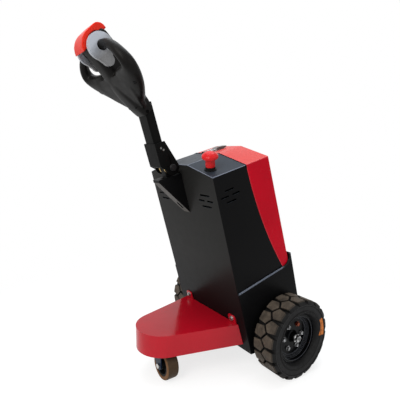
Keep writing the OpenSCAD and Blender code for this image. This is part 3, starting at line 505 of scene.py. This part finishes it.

# Painted sheen on the tower's roof and front, and the plain coat lower down where the front's painted sheen
# fades out
TOWER_PAINTED_SHEEN = (
    (ROOF_SHEEN, "facing", LEAN_UP, 0.90, 0.96),
    (FRONT_SHEEN, "facing", LEAN_FRONT, 0.90, 0.97),
    (BLACK_COAT, "along", LEAN_DOWN, *SHEEN_FADE),
)
# Painted sheen on the mount's flange, where it faces the front and down
MOUNT_PAINTED_SHEEN = ((FLANGE_SHEEN, "facing", FLANGE_FACING, 0.90, 0.97),)
# Painted highlight, pale blue-grey, on the rounded roof edges and on the collar's top edges
ROOF_EDGE_HIGHLIGHT = ((EDGE_HIGHLIGHT, "along", LEAN_UP, ROOF_EDGES, ROOF_EDGES + 0.003),)
COLLAR_EDGE_HIGHLIGHT = ((EDGE_HIGHLIGHT, "along", LEAN_UP, COLLAR_EDGES, COLLAR_EDGES + 0.001),)
# The bead's painted highlight ends in plain black coat where the lip starts
BEAD_HIGHLIGHT_END = ((BLACK_COAT, "along", LEAN_BACK, BEAD_U[1] - 0.012, BEAD_U[1] + 0.004),)
# Painted sheen, paler red, on the cover's upward faces
COVER_PAINTED_SHEEN = ((RED_TOP_SHEEN, "facing", LEAN_UP, 0.86, 0.97),)

# Coats: colour, roughness, specular level, dust, painted light (sheen and highlights). Steels: colour,
# roughness, scratches.
# Plastics: colour, roughness, grain, its depth, specular level.
paint = {
    "black": coat("black_powder_coat", BLACK_COAT, 0.36, 0.045),
    "black_tower": coat("black_tower_coat", BLACK_COAT, 0.34, 0.045, 0.08, TOWER_PAINTED_SHEEN),
    "black_arm": coat("black_arm_coat", (0.0030, 0.0029, 0.0029), 0.34, 0.035, 0.04),
    "black_mount": coat("black_mount_coat", BLACK_COAT, 0.40, 0.06, 0.0, MOUNT_PAINTED_SHEEN),
    "roof_edge": coat("roof_edges_painted_highlight", BLACK_COAT, 0.30, 0.10, 0.0, ROOF_EDGE_HIGHLIGHT),
    "collar_edge": coat("collar_edges_painted_highlight", BLACK_COAT, 0.30, 0.10, 0.0, COLLAR_EDGE_HIGHLIGHT),
    # black bead painted pale blue-grey as a painted highlight
    "bead": coat("bead_painted_highlight", BEAD_HIGHLIGHT, 0.28, 0.10, 0.0, BEAD_HIGHLIGHT_END),
    "red": coat("red_gloss_paint", RED_COVER, 0.24, 0.050, 0.015, COVER_PAINTED_SHEEN),
    "red_deck": coat("red_deck_paint", RED_DECK, 0.15, 0.245, 0.05),
    # Paler red on the rounded edges of the cover and the deck: a painted highlight
    "red_edge": coat("red_edges_painted_highlight", (0.52, 0.018, 0.028), 0.25, 0.25, 0.0),
    "floor": coat("matt_black_paint", (0.012, 0.012, 0.013), 0.6, 0.10),
    "fork": coat("dark_blue_paint", (0.006, 0.014, 0.034), 0.32, 0.14, 0.05),
    "rim": coat("rim_black_paint", (0.0024, 0.0026, 0.0030), 0.20, 0.07, 0.0),
    # Grey-blue on the rims' rounded edges: a painted highlight
    "rim_edge": coat("rim_edges_painted_highlight", (0.034, 0.037, 0.045), 0.22, 0.20, 0.0),
    "alloy": steel("cast_alloy", (0.30, 0.30, 0.31), 0.55, 160.0),
    "zinc": steel("zinc_plate", (0.66, 0.66, 0.64), 0.26),
    "dull_zinc": steel("dull_zinc_plate", (0.40, 0.40, 0.39), 0.32),
    "dark_zinc": steel("dark_zinc_plate", (0.15, 0.15, 0.145), 0.34),
    "dark_steel": steel("blackened_steel", (0.030, 0.029, 0.030), 0.38),
    "brass": steel("brass_bush", (0.50, 0.35, 0.12), 0.30),
    "turned": steel("turned_steel", (0.010, 0.010, 0.011), 0.40),
    "screw_hole": steel("sunk_screw_steel", (0.004, 0.004, 0.004), 0.45),
    "latch": latch_steel("latch_steel"),
    "bolts": wheel_steel("wheel_bolt_steel"),
    "bolts_marked": wheel_steel("wheel_bolt_steel_marked", PRIMED_BOLT),
    "case": plastic("battery_case", (0.03, 0.03, 0.033), 0.6, 700.0, 0.0001),
    "seal": plastic("black_seal_rubber", (0.0012, 0.0012, 0.0012), 0.6, 500.0, 0.00005, 0.03),
    "grip": plastic("black_grip_plastic", (0.0060, 0.0055, 0.0052), 0.40, 850.0, 0.00010, 0.070),
    "moulded": plastic("black_moulded_plastic", (0.0060, 0.0060, 0.0060), 0.5, 700.0, 0.00010, 0.10),
    "silver": silver_plastic("satin_silver_plastic"),
    # Paler grey on the levers' rounded edges: a painted highlight
    "silver_edge": plastic("silver_lever_edges_painted_highlight", (0.300, 0.315, 0.345), 0.26, 900.0, 0.00003, 0.5),
    "button": plastic("red_gloss_plastic", (0.50, 0.012, 0.014), 0.26, 600.0, 0.00002, 0.12),
    "belly": plastic("orange_red_plastic", (0.58, 0.020, 0.009), 0.30, 600.0, 0.00002, 0.08),
    "tyre": tyre_rubber("tyre_rubber"),
    "tyre_marked": tyre_rubber("tyre_rubber_marked", TYRE_MARK),
    # The rubber's own black, kept free of the tops' dust on the rounded block edges as painted shade that
    # widens the dark grooves
    "rubber_edge": plastic("tyre_rubber_edges", (0.0060, 0.0058, 0.0055), 0.75, 400.0, 0.00010, 0.06),
    "tread": caster_rubber("caster_polyurethane"),
    "gauze": gauze("black_vent_gauze"),
}

NODE_PAINT = {
    "tower_shell": "black_tower", "rear_cover": "red", "base_collar": "black",
    "floor_plate": "floor", "battery_pack": "case", "transaxle": "alloy",
    "drive_motor": "floor", "caster_platform": "red_deck", "platform_bolts": "dull_zinc",
    "caster_beam": "floor", "caster_top_plate": "fork", "tiller_mount": "black_mount",
    "pivot_bushes": "brass", "pivot_bolt": "dark_steel", "stop_base": "moulded",
    "stop_button": "button", "cover_latch": "latch", "hitch_bracket": "black",
    "tow_pin": "zinc", "caster_fork": "fork", "caster_axle": "zinc",
    "caster_core": "moulded", "caster_tread": "tread", "tiller_bracket": "black_arm",
    "bracket_screws": "dark_zinc", "tiller_arm": "black_arm", "head_body": "grip",
    "head_loops": "grip", "thumb_levers": "silver", "belly_button": "belly",
    "tyre_right": "tyre_marked", "tyre_left": "tyre",
    "wheel_bolts_right": "bolts_marked", "wheel_bolts_left": "bolts",
}

# Width of the softened edges of CAD nodes, and the paint of those edges where it differs; the paler edge
# paints are painted highlights
SOFT_EDGES = {
    "tower_shell": (0.0090, "roof_edge"), "rear_cover": (0.0030, "red_edge"),
    "base_collar": (0.0028, "collar_edge"), "caster_platform": (0.0030, "red_edge"),
    "tiller_mount": (0.0014, None), "tiller_bracket": (0.0016, None),
    "tiller_arm": (0.0020, None), "thumb_levers": (0.0050, "silver_edge"),
    "stop_base": (0.0010, None), "hitch_bracket": (0.0012, None),
    "cover_latch": (0.0012, None), "caster_fork": (0.0012, None),
    "caster_tread": (0.0008, None), "caster_axle": (0.0008, None),
    "pivot_bolt": (0.0010, None), "tow_pin": (0.0008, None),
    "transaxle": (0.0015, None), "drive_motor": (0.0015, None),
    "platform_bolts": (0.0006, None),
}
for side, _ in SIDES:
    NODE_PAINT["rim_" + side] = "rim"
    NODE_PAINT["hub_" + side] = "turned"
    SOFT_EDGES["tyre_" + side] = (0.0030, "rubber_edge")
    SOFT_EDGES["rim_" + side] = (0.0013, "rim_edge")
    SOFT_EDGES["hub_" + side] = (0.0010, None)
    SOFT_EDGES["wheel_bolts_" + side] = (0.0008, None)

# Share of that width on the sharp edges below a height along the tower
LOWER_EDGES = {"tower_shell": (ROOF_EDGES, 0.11)}

# Angles between faces: where shading breaks, where edges get a weight, and where they are rounded without;
# steps of a rounded edge, and the distance within which points are welded
BREAK_ANGLE = math.radians(38)
SHARP_ANGLE = math.radians(14)
BEVEL_ANGLE = math.radians(28)
BEVEL_STEPS = 3
WELD_REACH = 1e-5


def mesh_group(name):
    """New node group that takes a mesh and gives one, with its first and last node."""
    group = bpy.data.node_groups.new(name, "GeometryNodeTree")
    for way in ("INPUT", "OUTPUT"):
        group.interface.new_socket("Geometry", in_out=way, socket_type="NodeSocketGeometry")
    return group, group.nodes.new("NodeGroupInput"), group.nodes.new("NodeGroupOutput")


def smooth_by_angle(limit):
    """Node group that shades a mesh smooth apart from edges sharper than a limit."""
    group, start, end = mesh_group("smooth_by_angle")
    faces = group.nodes.new("GeometryNodeSetShadeSmooth")
    edges = group.nodes.new("GeometryNodeSetShadeSmooth")
    edges.domain = "EDGE"
    edges.inputs["Shade Smooth"].default_value = False
    angle = group.nodes.new("GeometryNodeInputMeshEdgeAngle")
    sharper = group.nodes.new("FunctionNodeCompare")
    sharper.inputs["B"].default_value = limit
    links = group.links
    links.new(start.outputs[0], faces.inputs["Geometry"])
    links.new(faces.outputs[0], edges.inputs["Geometry"])
    links.new(angle.outputs["Unsigned Angle"], sharper.inputs["A"])
    links.new(sharper.outputs[0], edges.inputs["Selection"])
    links.new(edges.outputs[0], end.inputs[0])
    return group


def edge_weights(height, share, limit):
    """Node group that lets a bevel round sharp edges above a height fully, and those below it by a share."""
    group, start, end = mesh_group("edge_weights")
    store = group.nodes.new("GeometryNodeStoreNamedAttribute")
    store.domain = "EDGE"
    store.inputs["Name"].default_value = "bevel_weight_edge"
    place = group.nodes.new("GeometryNodeInputPosition")
    above = new_node(group, "VectorMath")
    above.operation = "DOT_PRODUCT"
    above.inputs[1].default_value = LEAN_UP
    upper = new_node(group, "Math")
    upper.operation = "GREATER_THAN"
    upper.inputs[1].default_value = height
    weight = new_node(group, "MapRange", To_Min=share)
    angle = group.nodes.new("GeometryNodeInputMeshEdgeAngle")
    sharp = new_node(group, "Math")
    sharp.operation = "GREATER_THAN"
    sharp.inputs[1].default_value = limit
    product = new_node(group, "Math")
    product.operation = "MULTIPLY"
    links = group.links
    links.new(place.outputs[0], above.inputs[0])
    links.new(above.outputs["Value"], upper.inputs[0])
    links.new(upper.outputs[0], weight.inputs["Value"])
    links.new(angle.outputs["Unsigned Angle"], sharp.inputs[0])
    links.new(weight.outputs["Result"], product.inputs[0])
    links.new(sharp.outputs[0], product.inputs[1])
    links.new(product.outputs[0], store.inputs["Value"])
    links.new(start.outputs[0], store.inputs["Geometry"])
    links.new(store.outputs[0], end.inputs[0])
    return group


SMOOTH = smooth_by_angle(BREAK_ANGLE)


def soften(obj, width, edge_paint=None, lower=None):
    """Rounds the sharp edges of a CAD node with modifiers, leaving its mesh as it is."""
    weld = obj.modifiers.new("weld", "WELD")
    weld.merge_threshold = WELD_REACH
    if lower:
        obj.modifiers.new("weights", "NODES").node_group = edge_weights(*lower, SHARP_ANGLE)
    bevel = obj.modifiers.new("bevel", "BEVEL")
    bevel.width = width
    bevel.segments = BEVEL_STEPS
    bevel.limit_method = "WEIGHT" if lower else "ANGLE"
    bevel.angle_limit = BEVEL_ANGLE
    if edge_paint:
        obj.data.materials.append(paint[edge_paint])
        bevel.material = 1
    obj.modifiers.new("smooth", "NODES").node_group = SMOOTH
    obj.modifiers.new("normals", "WEIGHTED_NORMAL").keep_sharp = True


# Rounded skins of the moulded controls and of the head: size of the cells and rounds of smoothing,
# and how far a point moves in one round
MOULDED = {"belly_button": (0.0018, 24), "stop_button": (0.0010, 14)}
HEAD_SKIN = (0.0024, 30)
RELAX_FACTOR = 0.5


def relax_skin(obj, cell, rounds):
    """Gives a piece an even skin and smooths it, with modifiers."""
    remesh = obj.modifiers.new("remesh", "REMESH")
    remesh.mode = "VOXEL"
    remesh.voxel_size = cell
    remesh.use_smooth_shade = True
    relax = obj.modifiers.new("relax", "SMOOTH")
    relax.factor = RELAX_FACTOR
    relax.iterations = rounds


def dress_nodes():
    """Gives every CAD node its material and soft edges."""
    for name, key in NODE_PAINT.items():
        obj = nodes[name]
        obj.data.materials.clear()
        obj.data.materials.append(paint[key])
        if name in SOFT_EDGES:
            soften(obj, *SOFT_EDGES[name], LOWER_EDGES.get(name))
        if name in MOULDED:
            relax_skin(obj, *MOULDED[name])


# Pieces that stand for CAD nodes or sit on them

def turns(steps):
    """Angles of an even ring."""
    return [2 * math.pi * k / steps for k in range(steps)]


def bridge(form, rings, closed=True, smooth=False):
    """Faces between neighbouring rows of equally many points, which may be closed to rings."""
    for a, b in zip(rings, rings[1:]):
        for k in range(len(a) if closed else len(a) - 1):
            after = (k + 1) % len(a)
            form.faces.new((a[k], a[after], b[after], b[k])).smooth = smooth


def close_ends(form, rings):
    """Flat faces over the first and the last ring."""
    form.faces.new(reversed(rings[0]))
    form.faces.new(rings[-1])


def mesh_from(form, name):
    """Mesh of a finished form."""
    mesh = bpy.data.meshes.new(name)
    form.to_mesh(mesh)
    form.free()
    return mesh


def add_piece(name, mesh, body, key):
    """New piece that moves with a body, with its paint."""
    mesh.materials.append(paint[key])
    piece = bpy.data.objects.new(name, mesh)
    scene.collection.objects.link(piece)
    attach(piece, body)
    return piece


# Fillets that close the deep grooves between the head's body and its wings:
# place along the head, how far the fillet reaches sideways, and how far below the middle it lies
WING_FILLETS = (
    (0.022, 0.050, 0.021), (0.050, 0.068, 0.0255), (0.080, 0.092, 0.0295), (0.105, 0.108, 0.0320),
    (0.150, 0.110, 0.0322), (0.172, 0.088, 0.0280),
)
FILLET_INNER = 0.020

# Switch housing between the thumb levers: place along the head, half width, and reach out of the upper face
HOUSING = (
    (0.205, 0.036, 0.034), (0.228, 0.050, 0.054), (0.250, 0.055, 0.064), (0.288, 0.055, 0.066),
    (0.304, 0.050, 0.060),
)


def add_loft(form, sections):
    """Closed loft along the head through four-sided sections: place, inner and outer edge, low and high."""
    rings = []
    for s, inner, outer, low, high in sections:
        corners = ((low, inner), (low, outer), (high, outer), (high, inner))
        rings.append([form.verts.new(head_point(t, y, s)) for t, y in corners])
    bridge(form, rings)
    close_ends(form, rings)


def add_head():
    """Tiller head as one moulding, with soft joins where the hand loops run into the body."""
    form = bmesh.new()
    for source in ("head_body", "head_loops"):
        form.from_mesh(nodes[source].data)
    for _, way in SIDES:
        add_loft(form, [(s, way * FILLET_INNER, way * reach, -low, 0.0) for s, reach, low in WING_FILLETS])
    add_loft(form, [(s, -half, half, 0.0, high) for s, half, high in HOUSING])
    bmesh.ops.recalc_face_normals(form, faces=form.faces)
    piece = add_piece("head_moulding", mesh_from(form, "head_moulding"), "tiller", "grip")
    relax_skin(piece, *HEAD_SKIN)
    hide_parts("head_body", "head_loops")
    return piece


# Screws of the tiller head: the side that they are in, place along the head, place across it
# (or out of its upper face for a side screw), and radius
HEAD_SCREWS = (
    ("under", 0.1276, 0.150, 0.0068), ("under", 0.038, 0.028, 0.0048), ("side", 0.002, -0.0136, 0.0065),
)

# Form of those screws: points of a ring, height, depth of the base in the surface, the rim's lower edge and
# the recess's floor as shares of the height, the chamfer and the recess as shares of the radius, and the
# hexagon's share of the recess
SCREW_SIDES = 24
SCREW_HEIGHT = 0.0010
SCREW_SUNK = 0.002
SCREW_RIM = 0.6
SCREW_FLOOR = 0.25
SCREW_CHAMFER = 0.86
SCREW_RECESS = 0.62
HEXAGON_FIT = 0.94

# Distance from the head's middle at which a line toward its surface starts
CAST_START = 0.2


def hex_radius(angle, corner):
    """Radius of a hexagon at an angle, from its corner radius."""
    third = math.pi / 3
    return HEXAGON_FIT * corner * math.cos(third / 2) / math.cos(angle % third - third / 2)


def screw_mesh(radius):
    """Round screw head with a chamfered rim and a hexagonal recess, standing along +Z on its base."""
    form = bmesh.new()
    recess = SCREW_RECESS * radius
    angles = turns(SCREW_SIDES)
    hexagon = [hex_radius(a, recess) for a in angles]
    profile = (
        ([radius] * SCREW_SIDES, -SCREW_SUNK),
        ([radius] * SCREW_SIDES, SCREW_RIM * SCREW_HEIGHT),
        ([SCREW_CHAMFER * radius] * SCREW_SIDES, SCREW_HEIGHT),
        ([recess] * SCREW_SIDES, SCREW_HEIGHT),
        (hexagon, SCREW_HEIGHT),
        (hexagon, SCREW_FLOOR * SCREW_HEIGHT),
    )
    rings = []
    for radii, z in profile:
        points = [(r * math.cos(a), r * math.sin(a), z) for r, a in zip(radii, angles)]
        rings.append([form.verts.new(point) for point in points])
    bridge(form, rings)
    close_ends(form, rings)
    return mesh_from(form, "head_screw")


def cast_on(target, start, way):
    """Where a line meets a piece's final surface, and the surface's direction there."""
    bpy.context.view_layer.update()
    final = target.evaluated_get(bpy.context.evaluated_depsgraph_get())
    hit, point, normal, _ = final.ray_cast(start, way)
    if not hit:
        raise RuntimeError("no surface there on " + target.name)
    return point, normal


def add_head_screws(head):
    """Sunk screws in the underside and the sides of the head, seated on the moulding's surface."""
    for row, (face, s, across, radius) in enumerate(HEAD_SCREWS):
        for label, side in SIDES:
            if face == "under":
                start = head_point(-CAST_START, side * across, s)
                way = HEAD_OUT
            else:
                start = head_point(across, side * CAST_START, s)
                way = Vector((0.0, -side, 0.0))
            point, normal = cast_on(head, start, way)
            mesh = screw_mesh(radius)
            turn = normal.to_track_quat("Z", "Y").to_matrix().to_4x4()
            mesh.transform(Matrix.Translation(point) @ turn)
            add_piece("head_screw_%s_%d" % (label, row + 1), mesh, "tiller", "screw_hole")


# Gauze screen behind the vents: the tower's inner faces that its rims meet, its rear end, lowest and highest
# edge, corner radius and steps, the rims' clearance and depth, the gauze's distance from the walls, thickness
TOWER_FRONT = 0.1264
TOWER_SIDE = 0.2300
SCREEN_END = 0.322
SCREEN_W = (0.662, 0.812)
SCREEN_CORNER = 0.020
SCREEN_STEPS = 6
RIM_GAP = 0.0003
RIM_DEPTH = 0.006
GAUZE_GAP = 0.011
GAUZE_THICK = 0.0012


def screen_plan(gap):
    """Line round the tower's front, a gap inside its walls, as depth and width."""
    u = TOWER_FRONT + gap + SCREEN_CORNER
    v = TOWER_SIDE - gap - SCREEN_CORNER
    arc = [math.radians(90 + 90 * k / SCREEN_STEPS) for k in range(SCREEN_STEPS + 1)]
    corner = [(u + SCREEN_CORNER * math.cos(a), v + SCREEN_CORNER * math.sin(a)) for a in arc]
    half = [(SCREEN_END, TOWER_SIDE - gap)] + corner
    return half + [(x, -y) for x, y in reversed(half)]


def add_vent_screen():
    """Gauze sheet bent round the tower's front corners behind the vents, with rims that meet the walls."""
    low, high = SCREEN_W
    levels = ((low, RIM_GAP), (low + RIM_DEPTH, GAUZE_GAP), (high - RIM_DEPTH, GAUZE_GAP), (high, RIM_GAP))
    form = bmesh.new()
    rows = [[form.verts.new(lean_point(u, v, w)) for u, v in screen_plan(gap)] for w, gap in levels]
    bridge(form, rows, closed=False)
    piece = add_piece("vent_screen", mesh_from(form, "vent_screen"), "chassis", "gauze")
    sheet = piece.modifiers.new("sheet", "SOLIDIFY")
    sheet.thickness = GAUZE_THICK


TUBE_SIDES = 12


def sweep(name, path, across, radius):
    """Round tube along a flat path, closed at its ends. across is square to the whole path."""
    form = bmesh.new()
    across = Vector(across)
    rings = []
    for k, point in enumerate(path):
        ahead = (path[min(k + 1, len(path) - 1)] - path[max(k - 1, 0)]).normalized()
        high = ahead.cross(across)
        spokes = [math.cos(a) * across + math.sin(a) * high for a in turns(TUBE_SIDES)]
        rings.append([form.verts.new(point + radius * spoke) for spoke in spokes])
    bridge(form, rings, smooth=True)
    close_ends(form, rings)
    bmesh.ops.recalc_face_normals(form, faces=form.faces)
    return mesh_from(form, name)


def bead_path(side):
    """Points along the bead: level, then up the lip."""
    start, bend = BEAD_U
    path = [(start, BEAD_W), (bend, BEAD_W)]
    for k in range(1, BEAD_STEPS + 1):
        a = math.radians(90) * k / BEAD_STEPS
        path.append((bend + BEAD_RISE * math.sin(a), BEAD_W + BEAD_RISE * (1 - math.cos(a))))
    return [lean_point(u, side * BEAD_V, w) for u, w in path]


def add_collar_beads():
    """Rounded edge that runs back along each side of the collar and up its lip."""
    for label, side in SIDES:
        mesh = sweep("collar_bead", bead_path(side), (0.0, 1.0, 0.0), BEAD_R)
        add_piece("collar_bead_" + label, mesh, "chassis", "bead")


# Rubber seal in the joint between the tower's roof and its cover: its depth, its radius, and the width and
# height of its points from the left shoulder to the ridge
SEAL_U = 0.2860
SEAL_R = 0.0019
SEAL_HALF = ((0.2335, 0.8180), (0.2335, 0.8265), (0.2315, 0.8300), (0.0850, 0.8712), (0.0800, 0.8719))


def add_cover_seal():
    """Thin seal that follows the roof from shoulder to shoulder."""
    points = [(-v, w) for v, w in SEAL_HALF] + list(reversed(SEAL_HALF))
    path = [lean_point(SEAL_U, v, w) for v, w in points]
    add_piece("cover_seal", sweep("cover_seal", path, LEAN_BACK, SEAL_R), "chassis", "seal")


# Stage: pale floor, soft studio light

# Floor: half its width, what it returns of the light that falls on it and glows by itself where it is seen,
# what it returns to the part, and the distances over which it turns white
FLOOR_HALF = 30.0
FLOOR_SEEN = 0.30
FLOOR_GLOW = 0.76
FLOOR_LIT = 0.80
FLOOR_FADE = (0.7, 1.6)

# Strength of the surroundings as light, and where they are seen
WORLD_LIGHT = 0.45
WORLD_SEEN = 1.0

# Lamps: name, place from their target, size, power and colour
LAMP_TARGET = Vector((0.0, 0.0, 0.6))
LAMPS = (
    ("top_lamp", (0.2, 0.3, 2.8), 2.6, 75.0, (0.90, 0.95, 1.0)),
    ("key_lamp", (-2.6, -1.2, 1.9), 1.8, 72.0, (1.0, 0.975, 0.94)),
    ("side_lamp", (0.9, -3.0, 1.4), 1.8, 14.0, (1.0, 1.0, 1.0)),
)


def seen_directly(tree):
    """Factor that is 1 for rays from the camera, mirrors and glass."""
    path = new_node(tree, "LightPath")
    factor = path.outputs["Is Camera Ray"]
    for kind in ("Is Glossy Ray", "Is Transmission Ray"):
        either = new_node(tree, "Math")
        either.operation = "MAXIMUM"
        tree.links.new(factor, either.inputs[0])
        tree.links.new(path.outputs[kind], either.inputs[1])
        factor = either.outputs[0]
    return factor


def mix_shaders(tree, factor, a, b):
    """Mix of two shaders, by a socket."""
    node = new_node(tree, "MixShader")
    tree.links.new(factor, node.inputs[0])
    tree.links.new(a, node.inputs[1])
    tree.links.new(b, node.inputs[2])
    return node.outputs[0]


def plain_shader(tree, kind, level):
    """Diffuse or emission shader of one grey level."""
    return new_node(tree, kind, Color=(level, level, level, 1)).outputs[0]


def far_off(tree):
    """Factor that rises from 0 near the tractor to 1 on the open floor."""
    space = new_node(tree, "TexCoord")
    length = new_node(tree, "VectorMath")
    length.operation = "LENGTH"
    tree.links.new(space.outputs["Object"], length.inputs[0])
    rise = new_node(tree, "MapRange", From_Min=FLOOR_FADE[0], From_Max=FLOOR_FADE[1])
    rise.interpolation_type = "SMOOTHSTEP"
    tree.links.new(length.outputs["Value"], rise.inputs["Value"])
    return rise.outputs["Result"]


def add_floor():
    """Wide pale floor that looks white to the camera and keeps the shadow."""
    mesh = bpy.data.meshes.new("floor")
    corners = [(x * FLOOR_HALF, y * FLOOR_HALF, 0) for x, y in ((-1, -1), (1, -1), (1, 1), (-1, 1))]
    mesh.from_pydata(corners, [], [(0, 1, 2, 3)])
    floor = bpy.data.objects.new("floor", mesh)
    scene.collection.objects.link(floor)
    material = bpy.data.materials.new("pale_floor")
    material.use_nodes = True
    tree = material.node_tree
    tree.nodes.clear()
    both = new_node(tree, "AddShader")
    tree.links.new(plain_shader(tree, "BsdfDiffuse", FLOOR_SEEN), both.inputs[0])
    tree.links.new(plain_shader(tree, "Emission", FLOOR_GLOW), both.inputs[1])
    white = plain_shader(tree, "Emission", 1.0)
    seen = mix_shaders(tree, far_off(tree), both.outputs[0], white)
    lit = plain_shader(tree, "BsdfDiffuse", FLOOR_LIT)
    surface = mix_shaders(tree, seen_directly(tree), lit, seen)
    out = new_node(tree, "OutputMaterial")
    tree.links.new(surface, out.inputs["Surface"])
    mesh.materials.append(material)


def add_world():
    """Even pale surroundings, white where they are seen or mirrored."""
    world = bpy.data.worlds.new("studio")
    scene.world = world
    world.use_nodes = True
    tree = world.node_tree
    background = tree.nodes["Background"]
    background.inputs["Color"].default_value = (1, 1, 1, 1)
    level = new_node(tree, "MapRange", To_Min=WORLD_LIGHT, To_Max=WORLD_SEEN)
    tree.links.new(seen_directly(tree), level.inputs["Value"])
    tree.links.new(level.outputs["Result"], background.inputs["Strength"])


def add_lamp(name, offset, size, power, color):
    """Square soft lamp, placed from the middle of the tractor and aimed at it."""
    data = bpy.data.lights.new(name, "AREA")
    data.shape = "SQUARE"
    data.size = size
    data.energy = power
    data.color = color
    lamp = bpy.data.objects.new(name, data)
    scene.collection.objects.link(lamp)
    lamp.location = LAMP_TARGET + Vector(offset)
    lamp.rotation_euler = (-Vector(offset)).to_track_quat("-Z", "Y").to_euler()


dress_nodes()
add_head_screws(add_head())
add_vent_screen()
add_collar_beads()
add_cover_seal()
add_camera()
add_floor()
add_world()
for row in LAMPS:
    add_lamp(*row)

scene.view_settings.view_transform = "Standard"
